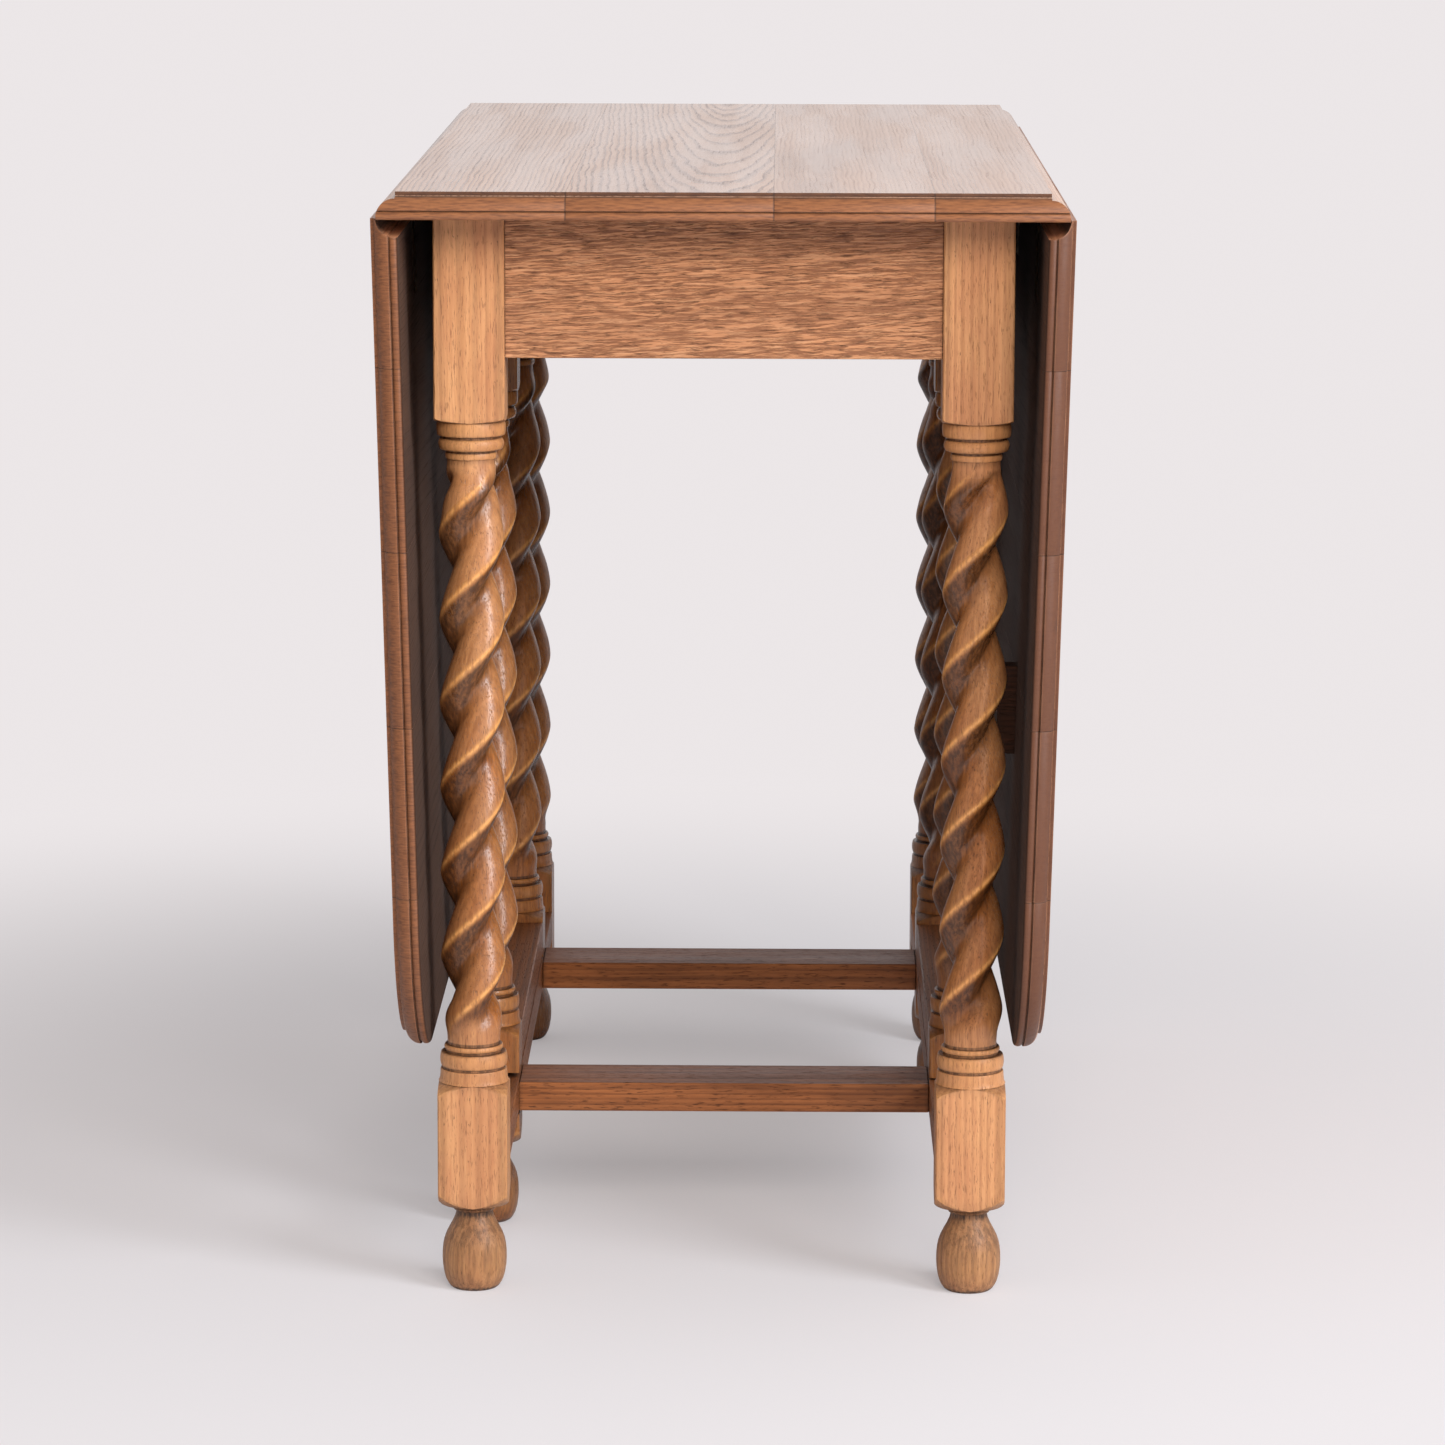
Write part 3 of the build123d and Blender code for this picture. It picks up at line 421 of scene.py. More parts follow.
def post_finish(wood):
    """Oak of the legs and posts; the mesh says where it is stained, worn and grimy, and where shade and
    highlights are painted.
    """
    make = Oak("waxed oak, posts", "Z", wander=0.006)
    fibres = make.lines(520, 12, 0.3, 0.7)
    pores = make.lines(1400, 130, 0.55, 0.68)
    patches = make.cloud(34, 0.36, 0.64)
    # The stain mark holds the real stain and painted light too: far posts darker as shade, twist bellies
    # paler as a highlight
    stain_and_painted_light = make.attribute("stain_and_painted_light")
    blocks = block_tone(make, wood, fibres, pores)
    twists = twist_tone(make, wood, fibres, pores, patches)
    stained = make.math("MULTIPLY", stain_and_painted_light, make.remap(patches, 0.0, 1.0, 1.0, 0.82))
    tone = make.mix(stained, blocks, twists)
    ragged = make.remap(make.lines(380, 150, 0.30, 0.62, (8, 3, 5)), 0.0, 1.0, 0.40, 1.0)
    rubbed = make.math("MULTIPLY", make.attribute("wear"), ragged)
    tone = make.shade(tone, rubbed, 0.78, wood.crest)
    # Grime together with painted shade: under the twists' ridges, under the upper rings and where blocks
    # meet turned parts
    streaks = make.remap(make.lines(420, 16, 0.34, 0.66, (6, 2, 8)), 0.0, 1.0, 0.62, 1.0)
    grime_and_shade = make.math("MULTIPLY", make.attribute("grime_and_shade"), streaks)
    tone = make.shade(tone, grime_and_shade, 0.96, wood.hollow)
    tone = make.shade(tone, make.cloud(60, 0.68, 0.80, (7, 1, 3)), 0.35, wood.hollow)
    shine = make.remap(stain_and_painted_light, 0.12, 0.50, 0.46, 0.25)
    relief = make.relief(fibres, pores, 0.8)
    return make.close(tone, relief, shine, pores, 0.5, 0.3 * MM, Specular_IOR_Level=0.50)


def board_grain(make, look, light, middle, dark):
    """Colour of a board's faces, and masks of its fibres and pores."""
    contrast = look["contrast"]
    early, late = make.growth(look["pith"], look["spacing"])
    fibres = make.lines(460, 3, 0.3, 0.7)
    crowded = make.math("ADD", make.math("MULTIPLY", early, 0.8), 0.2)
    pores = make.math("MULTIPLY", make.lines(900, 9, 0.50, 0.66), crowded)
    tone = make.mix(make.math("MULTIPLY", fibres, 0.7), middle, light)
    tone = make.shade(tone, early, min(0.9, 0.50 * contrast), dark)
    tone = make.shade(tone, late, min(0.5, 0.25 * contrast), light)
    tone = make.shade(tone, pores, min(1.0, 0.75 * contrast), dark)
    tone = make.shade(tone, make.cloud(12, 0.42, 0.72, stretch=0.15), look["patches"], dark)
    return tone, fibres, pores


def board_ends(make, look, wood, light, dark):
    """Colour of a board's moulded ends, hatched by the saw and the plane."""
    slope = look["slope"]
    tone = make.mix(make.hatching(slope, 0.20, 0.70), dark, light)
    if slope:
        tone = make.shade(tone, make.hatching(-0.8 * slope, 0.56, 0.70), 0.40, dark)
    tone = make.shade(tone, make.cloud(70, 0.60, 0.78, (6, 3, 2)), 0.30, wood.hollow)
    # The fillet at the top of the moulded ends is darkened as painted shade under the step
    if look["shaded_fillet"]:
        height = make.add("SeparateXYZ", {0: make.place}, 2)
        above = make.remap(height, look["shaded_fillet"], look["shaded_fillet"] + 0.6 * MM)
        tone = make.shade(tone, above, 0.62, wood.hollow)
    return tone


def board_finish(name, wood, colours, joints, look):
    """Oak of a board; its joints, an axis and places, are dark, and its outer edges are rubbed."""
    light, middle, dark, end_light, end_dark = colours
    make = Oak(name, "Y", look["centre"], look["tilt"], look["wander"], look["tremble"])
    tone, fibres, pores = board_grain(make, look, light, middle, dark)
    ends = make.ends()
    tone = make.mix(ends, tone, board_ends(make, look, wood, end_light, end_dark))
    seams = make.seams(*joints)
    rubbed = make.math("MULTIPLY", make.rubbed_edges(26), make.math("SUBTRACT", 1.0, seams))
    tone = make.shade(tone, rubbed, look["worn"], light)
    # Dirt and painted shade in the inner corners
    tone = make.shade(tone, make.dusty_shaded_corners(), 0.85, wood.hollow)
    seams = make.math("MULTIPLY", seams, make.remap(ends, 0.0, 1.0, 0.18, 0.55))
    tone = make.mix(seams, tone, wood.hollow)
    shine = make.remap(ends, 0.0, 1.0, look["shine"], 0.50)
    # The leaf's inner face, turned in under the table, is painted dark as shade, and is made rougher
    if look["inside"]:
        normal = make.add("TexCoord", None, 1)
        facing = make.add("VectorMath", {0: normal, 1: look["inside"]}, 1, operation="DOT_PRODUCT")
        inner_shade = make.remap(facing, 0.35, 0.75)
        tone = make.shade(tone, inner_shade, 0.90, wood.hollow)
        shine = make.math("ADD", make.math("MULTIPLY", inner_shade, 0.5), shine)
    dull = make.math("MULTIPLY", pores, look["dull"])
    relief = make.relief(fibres, pores)
    return make.close(tone, relief, shine, dull, look["bump"], 0.3 * MM, **look["sockets"])


def apron_finish(wood):
    """Flame-figured oak of the aprons, with fine ripples along the grain."""
    make = Oak("waxed oak, aprons", "X", (0, 0, 0.67), (0.0, 0.03, 0), 0.014, 0.0030)
    make.wood = make.drift(make.wood, (110, 110, 55), 0.0022)
    ripple = make.lines(720, 52, 0.42, 0.58, distortion=0.2)
    glints = make.lines(760, 38, 0.50, 0.66, (5, 5, 5), 0.2)
    strokes = make.lines(1050, 84, 0.55, 0.66, (2, 9, 4), 0.2)
    bands = make.lines(34, 3.2, 0.40, 0.68, (1, 3, 6))
    tone = make.mix(ripple, wood.apron_dark, wood.apron_middle)
    tone = make.shade(tone, glints, 0.75, wood.apron_light)
    tone = make.shade(tone, bands, 0.45, wood.apron_dark)
    tone = make.shade(tone, strokes, 0.70, wood.hollow)
    tone = make.shade(tone, make.cloud(9, 0.40, 0.70, (3, 1, 2)), 0.30, wood.apron_dark)
    tone = make.shade(tone, make.rubbed_edges(), 0.55, wood.apron_light)
    # Dirt and painted shade in the inner corners
    tone = make.shade(tone, make.dusty_shaded_corners(), 0.8, wood.hollow)
    relief = make.math("SUBTRACT", ripple, make.math("MULTIPLY", strokes, 0.6))
    return make.close(tone, relief, 0.48, strokes, 0.7, 0.5 * MM)


def rail_finish(name, along, wood, colours, shine, worn=0.5):
    """Oak of the rails, stretchers and blocks."""
    light, middle, dark = colours
    make = Oak(name, along)
    early, late = make.growth((0.26, 0.31), 3.8 * MM)
    fibres = make.lines(480, 10, 0.3, 0.7)
    pores = make.lines(1000, 110, 0.55, 0.68)
    tone = make.mix(make.math("MULTIPLY", fibres, 0.6), middle, light)
    tone = make.shade(tone, early, 0.35, dark)
    tone = make.shade(tone, late, 0.20, light)
    tone = make.shade(tone, pores, 0.75, dark)
    tone = make.shade(tone, make.cloud(18, 0.42, 0.66, (2, 2, 7)), 0.45, dark)
    tone = make.shade(tone, make.rubbed_edges(), worn, light)
    # Dirt and painted shade in the inner corners
    tone = make.shade(tone, make.dusty_shaded_corners(), 0.8, wood.hollow)
    return make.close(tone, make.relief(fibres, pores), shine, pores, Specular_IOR_Level=0.28)


def metal(name, colour, tarnish, rough):
    """Dull metal with tarnish and fine scratches."""
    make = Finish(bpy.data.materials.new(name))
    place = make.add("TexCoord", None, 3)
    blotches = make.noise(make.mapped(place, scale=(240, 240, 240)), 1.0, 4, 0.6)
    scratches = make.noise(make.mapped(place, scale=(900, 120, 900)), 1.0, 2, 0.5)
    dulled = make.mix(make.remap(blotches, 0.35, 0.65), colour, tarnish)
    lines = make.remap(scratches, 0.58, 0.72)
    marked = make.mix(make.math("MULTIPLY", lines, 0.35), dulled, tarnish)
    uneven = make.remap(blotches, 0.3, 0.7, rough - 0.08, rough + 0.14)
    roughness = make.math("ADD", uneven, make.math("MULTIPLY", lines, 0.1))
    bumped = make.add("Bump", {"Strength": 0.3, "Distance": 0.1 * MM, "Height": scratches})
    return make.surface(Base_Color=marked, Metallic=1.0, Roughness=roughness, Normal=bumped)


# ---------------------------------------------------------------- turned posts

# Rings, in millimetres: lower end, upper end, radius and bulge. The lower rings are measured from the
# top of the lower block, and the upper ones from the base of the upper block.
LOWER_RINGS = (
    (8.8, 10.3, 20.6, 0.0),
    (10.3, 20.0, 21.4, 0.9),
    (20.0, 21.4, 18.4, 0.0),
    (21.4, 25.0, 18.8, 0.7),
    (25.0, 27.0, 17.4, 0.0),
)
UPPER_RINGS = (
    (-25.0, -20.6, 16.4, 0.5),
    (-20.6, -19.0, 16.2, 0.0),
    (-19.0, -11.2, 19.9, 1.6),
    (-11.2, -9.6, 19.4, 0.0),
    (-9.6, 0.0, 22.0, 0.6),
)
# Heights and radii, in millimetres, of the round collar on the lower block and of the foot
COLLAR = ((0.1, 23.4), (0.8, 22.9), (2.2, 22.5), (4.5, 22.2), (7.6, 22.1), (8.6, 21.8))
FOOT = (
    (0.0, 14.8), (1.2, 16.4), (3.2, 17.8), (6.0, 19.2), (10.0, 20.3), (15.0, 21.1), (20.0, 21.4),
    (25.0, 21.3), (29.0, 20.9), (33.0, 20.1), (37.0, 18.7), (41.0, 16.7), (45.0, 14.5), (48.5, 12.9),
    (51.0, 12.2), (52.6, 12.3), (53.2, 13.6), (54.4, 14.4), (55.6, 13.9), (56.2, 12.8),
)
RING_EDGE = 0.4 * MM            # how far the edges of a ring are softened
LOW_NECK = 17.4 * MM            # radius of the twist where it leaves the lower rings
HIGH_NECK = 15.6 * MM           # radius of the twist where it meets the upper rings
TWIST_STEP = 1.6 * MM           # height between two stations of the twist
BLOCK_STEP = 4.0 * MM           # height between two stations of a block
CORNER_SHARES = (0.1, 0.25, 0.45, 0.65, 0.85)   # where a rounded shoulder has its stations
RIDGE_WIDTH = math.radians(7.0) # how far the wear of a ridge spreads to each side
BLOCK_WEAR = 0.16               # wear of the blocks' arrises
RING_STAIN = 0.25               # stain of the rings and collars
FOOT_STAIN = 0.10               # stain of the feet
CORNER_SEED = 1.7               # seeds make the carving and the worn arrises differ from post to post
LEG_SEED = 11.0
PIVOT_SEED = 17.0


def square_ring(half, clip):
    """Points of a square whose corners are cut back to a circle."""
    reach = math.acos(min(1.0, half / clip))
    points = []
    for quarter in range(4):
        turn = Matrix.Rotation(quarter * math.pi / 2, 2)
        for step in range(FLAT_STEPS):
            across = half * math.tan(reach) * (2 * step / FLAT_STEPS - 1)
            points.append(turn @ Vector((half, across)))
        for step in range(ARRIS_STEPS):
            angle = reach + (math.pi / 2 - 2 * reach) * step / ARRIS_STEPS
            points.append(turn @ Vector((clip * math.cos(angle), clip * math.sin(angle))))
    return points


def round_ring(radius, phase):
    """Points of a circle."""
    start = phase - math.pi / 4
    return [
        Vector((radius * math.cos(start + step * STEP_ANGLE), radius * math.sin(start + step * STEP_ANGLE)))
        for step in range(RING_STEPS)
    ]


def eased(value, low, high):
    """Smooth step from 0 to 1."""
    share = min(1.0, max(0.0, (value - low) / (high - low)))
    return share * share * (3 - 2 * share)


def strand_reach(settings, angle):
    """Distance from the axis to the strands' surface at an angle from a crest."""
    offset = settings.strand_offset
    radius = settings.strand_radius

    def reach(at):
        return offset * math.cos(at) + math.sqrt(radius ** 2 - (offset * math.sin(at)) ** 2)

    fold = abs((angle + math.pi / 2) % math.pi - math.pi / 2)
    lift = reach(0) - reach(settings.crest)
    near = reach(fold + settings.crest) + lift
    far = reach(math.pi - fold + settings.crest) + lift
    blend = settings.valley_blend
    share = max(0.0, blend - abs(near - far)) / blend
    return max(near, far) + share * share * blend / 4


def arris_wear(step, wear):
    """Wear at one point of a square station: full on the arris and less just beside it."""
    if step == 0 or step >= FLAT_STEPS:
        return wear
    if step in (1, FLAT_STEPS - 1):
        return 0.45 * wear
    return 0.0


def dent(height, seed):
    """Unevenness of a block's arrises at a height."""
    small = noise.noise(Vector((height * 310, 2.0, seed * 5)))
    return noise.noise(Vector((height * 90, seed * 7, 0.3))) + 0.6 * small


class PostOutline:
    """Stations of a post from the floor up; each has a height, points, wear, grime with painted shade, and
    stain with painted light.
    """

    def __init__(self, settings, half, turn, stain_and_painted_light):
        self.settings = settings
        self.turn = turn
        self.stain_and_painted_light = stain_and_painted_light
        self.half = half
        self.corner = half * math.sqrt(2)
        self.stations = []

    def square(self, height, clip, wear=BLOCK_WEAR, grime_and_shade=0.0):
        """A square station; its arrises are worn, with a little grime on and beside them; a grime value
        given darkens it all round as well, as painted shade where a block meets a turned part.
        """
        # The corner is always cut a little, so that no two points meet
        points = square_ring(self.half, max(self.half * 1.0005, clip))
        worn = [arris_wear(index % QUARTER_STEPS, max(wear, 0.01)) for index in range(RING_STEPS)]
        dirt_and_shade = [max(grime_and_shade, 0.28) if mark else 0.3 * grime_and_shade for mark in worn]
        self.stations.append((height, points, worn, dirt_and_shade, [self.stain_and_painted_light] * RING_STEPS))

    def circle(self, height, radius, phase=0.0, wear=0.0, grime_and_shade=0.0, stain_and_painted_light=0.0):
        """A round station."""
        marks = [[mark] * RING_STEPS for mark in (wear, grime_and_shade, max(stain_and_painted_light, self.stain_and_painted_light))]
        self.stations.append((height, round_ring(radius, phase), *marks))

    def corners(self, end, reach, full, shares):
        """Square stations whose corners round in towards an end of a block; nearer the end they are darker,
        as painted shade.
        """
        for share in shares:
            swell = math.sin(share * math.pi / 2) ** 1.15
            clip = self.half + (full - self.half) * swell
            self.square(end + share * reach, clip, 0.5 * share, 0.6 * (1 - share))

    def block(self, base, top, base_shoulder, top_shoulder, start, seed):
        """Square block; its corners round in towards an end that has a shoulder."""
        full = self.corner - self.settings.arris
        if base_shoulder:
            # The block's lower end, where it meets the turned part below, is dark: painted shade
            self.circle(base, start, grime_and_shade=0.9)
            self.square(base, max(start, self.half), 0.0, 0.75)
            self.corners(base, base_shoulder, full, CORNER_SHARES)
        else:
            self.square(base, full - 0.3 * MM, 0.5, 0.3)
        low = base + base_shoulder
        high = top - top_shoulder
        count = max(2, round((high - low) / BLOCK_STEP))
        for step in range(count + 1):
            height = low + (high - low) * step / count
            self.square(height, full - self.settings.edge_wear * max(0.0, dent(height, seed) + 0.15))
        if top_shoulder:
            self.corners(top, -top_shoulder, full, reversed(CORNER_SHARES))
            # The top end, where it meets the rings, is dark: painted shade
            self.square(top, self.half, 0.0, 0.75)

    def turned(self, profile, start_phase=0.0, end_phase=0.0, stain_and_painted_light=RING_STAIN):
        """Round stations from (height, radius, wear, grime) rows."""
        last = len(profile) - 1
        for index, (height, radius, wear, grime_and_shade) in enumerate(profile):
            phase = start_phase + (end_phase - start_phase) * index / last
            self.circle(height, radius, phase, wear, grime_and_shade, stain_and_painted_light)


def ring_marks(bulge, share):
    """Wear and grime at a share of a ring's height; only a bulging ring is rubbed clean."""
    if not bulge:
        return 0.0, 0.8
    grime_and_shade = 0.0 if 0.1 < share < 0.9 else 0.35
    return 0.22, grime_and_shade


def ring_profile(rings, base):
    """Rows of the rings beside a block's end."""
    rows = []
    for low, high, radius, bulge in rings:
        start = base + low * MM
        end = base + high * MM
        edge = radius * MM - RING_EDGE
        # Both edges of each ring are dark: dirt in the creases between rings, and painted shade where a ring
        # meets a block or the twist
        rows.append((start, edge, 0.0, 0.9))
        for share in (0.04, 0.15, 0.3, 0.5, 0.7, 0.85, 0.96):
            swell = radius * MM + bulge * MM * (1 - (2 * share - 1) ** 2)
            rows.append((start + (end - start) * share, swell, *ring_marks(bulge, share)))
        rows.append((end, edge, 0.0, 0.9))
    return rows


def lower_rings(base):
    """Rows of the collar and the rings between the lower block and the twist."""
    collar = [(base + height * MM, radius * MM, 0.1, 0.0) for height, radius in COLLAR]
    return collar + ring_profile(LOWER_RINGS, base)


def foot_profile(floor, top):
    """Rows of the turned foot from the floor up; its belly is worn, and it is darker at both ends, in its
    neck, and a little more towards its top.
    """
    rows = []
    for height, radius in (*FOOT, (top / MM, FOOT[-1][1])):
        wear = 0.25 * eased(height, 6, 14) * (1 - eased(height, 26, 36))
        grime_and_shade = max(0.0, 0.8 - height / 4) + 0.7 * eased(height, 48, 52) * (1 - eased(height, 53, 54))
        grime_and_shade += 0.8 * eased(height, 55.6, 56.4) + 0.52 + 0.16 * eased(height, 14, 42)
        rows.append((max(floor, height * MM), radius * MM, wear, min(1, grime_and_shade)))
    return rows


class Twist:
    """Twisted shaft of a post; its hollows run out towards both necks."""

    def __init__(self, outline, low, high, seed):
        settings = outline.settings
        self.outline = outline
        self.settings = settings
        self.low = low
        self.high = high
        self.seed = seed
        self.crest_radius = settings.strand_offset + settings.strand_radius
        self.depth = self.crest_radius - strand_reach(settings, math.pi / 2)
        self.slip = -round(self.crest_angle(low) / STEP_ANGLE) * STEP_ANGLE

    def crest_angle(self, height):
        """Direction of a ridge at a height."""
        turn_rate = 2 * math.pi / self.settings.twist_pitch
        return (height - self.settings.twist_zero) * turn_rate + self.outline.turn

    def phase(self, height):
        """Turn of a station at a height; the lowest one is within a step of the block's corners."""
        return self.crest_angle(height) + self.slip

    def swell(self, above, below):
        """Radius of the ridges, which draw in towards both necks."""
        low_swell = LOW_NECK + (self.crest_radius - LOW_NECK) * eased(above, 2 * MM, 26 * MM)
        high_swell = HIGH_NECK + (self.crest_radius - HIGH_NECK) * eased(below, 0.0, 34 * MM)
        return min(low_swell, high_swell)

    def hollow(self, share):
        """Depth from 0 to 1 at a share of the way between two ridges."""
        lean = self.settings.lean
        leant = 0.5 * share / lean
        if share > lean:
            leant = 1 - 0.5 * (1 - share) / (1 - lean)
        return max(0.0, (self.crest_radius - strand_reach(self.settings, leant * math.pi)) / self.depth)

    def carved(self, where, hollow):
        """Unevenness left by carving by hand, most in the hollows."""
        uneven = noise.noise((where + Vector((self.seed, 0, 0))) * 70) + 0.5 * noise.noise(where * 190)
        return self.settings.carving * uneven * (0.35 + 0.65 * hollow)

    def add_station(self, height):
        """Add the station at a height; it is painted with shade under the ridges and under the upper rings,
        with a highlight on the bellies, and its hollows are grimy.
        """
        above = height - self.low
        below = self.high - height
        crest_angle = self.crest_angle(height)
        start = self.phase(height) - math.pi / 4
        swell = self.swell(above, below)

        # How deep the hollows are, and how narrow they become towards the necks
        cut = eased(above, 3 * MM, 30 * MM) * eased(below, 4 * MM, 21 * MM)
        narrow = 1 + 3.0 * (1 - eased(below, 6 * MM, 40 * MM)) + 0.5 * (1 - eased(above, 4 * MM, 30 * MM))

        # Painted shade under the upper rings, stain of the shaft, and how much paler its bellies are painted
        # as a highlight, more so higher up
        end_shade = 0.4 * (1 - eased(below, 0, 5 * MM))
        deep = (0.35 if above < below else 0.15) + 0.65 * min(1.0, 1.4 * cut)
        belly_highlight = 0.28 + 0.30 * eased(height, 0.40, 0.53)

        points = []
        worn = []
        grimed_and_shaded = []
        stained = []
        for step in range(RING_STEPS):
            angle = start + step * STEP_ANGLE
            share = (angle - crest_angle) / math.pi % 1.0
            hollow = self.hollow(share) ** narrow
            radius = swell - cut * self.depth * hollow
            where = Vector((radius * math.cos(angle), radius * math.sin(angle), height))
            radius += self.carved(where, hollow)
            points.append(Vector((radius * math.cos(angle), radius * math.sin(angle))))
            ridge = math.exp(-(math.pi * min(share, 1 - share) / RIDGE_WIDTH) ** 2) * cut
            # Painted shade just below each ridge (under), a painted highlight on the upward bellies (belly),
            # and grime at the bottom of the hollows
            under = eased(share, 0.03, 0.10) * (1 - eased(share, 0.16, 0.52))
            belly = eased(share, 0.40, 0.72) * (1 - eased(share, 0.93, 0.99))
            grime_and_shade = cut * (0.84 * under + 0.34 * eased(hollow, 0.5, 1.0)) + end_shade
            worn.append(ridge)
            grimed_and_shaded.append(min(1.0, grime_and_shade) * (1 - 0.8 * ridge))
            stained.append(max(self.outline.stain_and_painted_light, deep) * (1 - belly_highlight * cut * belly))
        self.outline.stations.append((height, points, worn, grimed_and_shaded, stained))

    def add_stations(self):
        """Add the stations of the shaft from below."""
        count = round((self.high - self.low) / TWIST_STEP)
        for index in range(count + 1):
            self.add_station(self.low + (self.high - self.low) * index / count)


def loft(name, stations, axis):
    """Tube through all the stations of a post, closed at both ends."""
    mesh = bmesh.new()
    wear = mesh.verts.layers.float.new("wear")
    grime_and_shade = mesh.verts.layers.float.new("grime_and_shade")
    stain_and_painted_light = mesh.verts.layers.float.new("stain_and_painted_light")
    bmesh.ops.create_grid(mesh, x_segments=RING_STEPS, y_segments=len(stations) - 1, size=1.0)
    mesh.verts.ensure_lookup_table()
    columns = RING_STEPS + 1
    for row, (height, points, worn, grimed_and_shaded, stained) in enumerate(stations):
        for column in range(columns):
            vert = mesh.verts[row * columns + column]
            step = column % RING_STEPS
            vert.co = (axis[0] + points[step].x, axis[1] + points[step].y, height)
            vert[wear] = worn[step]
            vert[grime_and_shade] = grimed_and_shaded[step]
            vert[stain_and_painted_light] = stained[step]
    bmesh.ops.remove_doubles(mesh, verts=mesh.verts, dist=1e-6)
    open_edges = [edge for edge in mesh.edges if edge.is_boundary]
    bmesh.ops.holes_fill(mesh, edges=open_edges, sides=0)
    bmesh.ops.recalc_face_normals(mesh, faces=mesh.faces)
    data = bpy.data.meshes.new(name)
    mesh.to_mesh(data)
    mesh.free()
    data.shade_smooth()
    data.set_sharp_from_angle(angle=math.radians(32))
    piece = bpy.data.objects.new(name, data)
    bpy.context.scene.collection.objects.link(piece)
    return piece


def cut_away(stations, base, top, inner, side):
    """Stations with the inner part of a post taken away between two heights."""
    def kept(station, height):
        _, points, *marks = station
        moved = [Vector((side * max(side * point.x, inner), point.y)) for point in points]
        return (height, moved, *marks)

    below = [station for station in stations if station[0] < base]
    inside = [station for station in stations if base <= station[0] <= top]
    above = [station for station in stations if station[0] > top]
    result = [*below, (base, *below[-1][1:]), kept(below[-1], base)]
    result += [kept(station, station[0]) for station in inside]
    if above:
        result += [kept(above[0], top), (top, *above[0][1:]), *above]
    return result


def post_piece(settings, node, body, seed, notches=()):
    """One leg or post that stands for a CAD node; a leg has a foot, and a pivot post has none."""
    low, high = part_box(node)
    half = (high.x - low.x) / 2
    axis = ((low.x + high.x) / 2, (low.y + high.y) / 2)
    # The gates and the back legs are painted darker, as shade
    stain_and_painted_light = 0.0 if "front" in node else settings.far_shade
    outline = PostOutline(settings, half, math.radians(TWIST_TURNS[node]), stain_and_painted_light)
    block_top = settings.lower_block_top
    block_base = settings.upper_block_base
    ring_shoulder = 2 * settings.shoulder
    if "leg" in node:
        foot_top = settings.foot_height
        outline.turned(foot_profile(low.z, foot_top), stain_and_painted_light=FOOT_STAIN)
        neck = half - 3.6 * MM
        outline.block(foot_top, block_top, settings.foot_shoulder, ring_shoulder, neck, seed)
    else:
        outline.block(low.z, block_top, 0.0, ring_shoulder, half, seed)
    twist_low = block_top + LOWER_RINGS[-1][1] * MM
    twist_high = block_base + UPPER_RINGS[0][0] * MM
    twist = Twist(outline, twist_low, twist_high, seed)
    outline.turned(lower_rings(block_top), 0.0, twist.phase(twist_low))
    twist.add_stations()
    quarter = math.pi / 2
    phase = twist.phase(twist_high)
    outline.turned(ring_profile(UPPER_RINGS, block_base), phase, round(phase / quarter) * quarter)
    outline.block(block_base, high.z, settings.shoulder, 0.0, half - 1.0 * MM, seed + 3)
    stations = outline.stations
    for notch in notches:
        stations = cut_away(stations, *notch)
    piece = loft("turned_" + node, stations, axis)
    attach(piece, body)
    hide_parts(node)
    return piece


def gate_notches(side, sign):
    """Where a gate leg laps over the stretcher and the rail: lower end, upper end, depth and side."""
    rail_low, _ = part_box(f"{side}_side_rail")
    stretcher_low, stretcher_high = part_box(f"{side}_side_stretcher")
    _, leg_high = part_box(f"{side}_gate_leg")
    return (
        (stretcher_low.z - 4 * MM, stretcher_high.z + 3.5 * MM, 0.5 * MM, sign),
        (rail_low.z - 1.5 * MM, leg_high.z, 5.5 * MM, sign),
    )


class TABLE_OT_turned_posts(bpy.types.Operator):
    """Model the corner legs, the gate legs and the pivot posts."""

    bl_idname = "table.turned_posts"
    bl_label = "Turned Posts"

    def execute(self, context):
        settings = context.scene.table_posts
        finish = post_finish(context.scene.table_wood)
        pieces = []
        for end in ENDS:
            for side in SIDES:
                seed = len(pieces) * CORNER_SEED
                pieces.append(post_piece(settings, f"leg_{end}_{side}", "frame", seed))
        for side, sign in (("left", -1), ("right", 1)):
            body = f"{side}_gate"
            notches = gate_notches(side, sign)
            pieces.append(post_piece(settings, f"{side}_gate_leg", body, LEG_SEED, notches))
            pieces.append(post_piece(settings, f"{side}_gate_pivot_post", body, PIVOT_SEED))
        for piece in pieces:
            piece.data.materials.append(finish)
        return {"FINISHED"}


# ---------------------------------------------------------------- boards, rails and fittings

# Looks of the boards: tilt, wander and tremble of the grain, strength of its dark patches, slope of the
# marks on the ends, wear of the edges, roughness, dullness of the pores and relief; a leaf has no
# shaded fillet, and its inner side is painted dark as shade
TOP_LOOK = {
    "tilt": (0, 0, 0), "wander": 0.016, "tremble": 0.0042, "patches": 0.25, "slope": 0.7, "worn": 0.0,
    "shine": 0.15, "dull": 0.3, "bump": 0.12, "inside": None, "sockets": {"Specular_IOR_Level": 0.72},
}
LEAF_LOOK = {
    "tilt": (0, 0, 0), "wander": 0.018, "tremble": 0.0022, "patches": 0.25, "slope": 0.0, "worn": 0.35,
    "shine": 0.32, "dull": 1.0, "bump": 0.4, "shaded_fillet": None, "sockets": {},
}
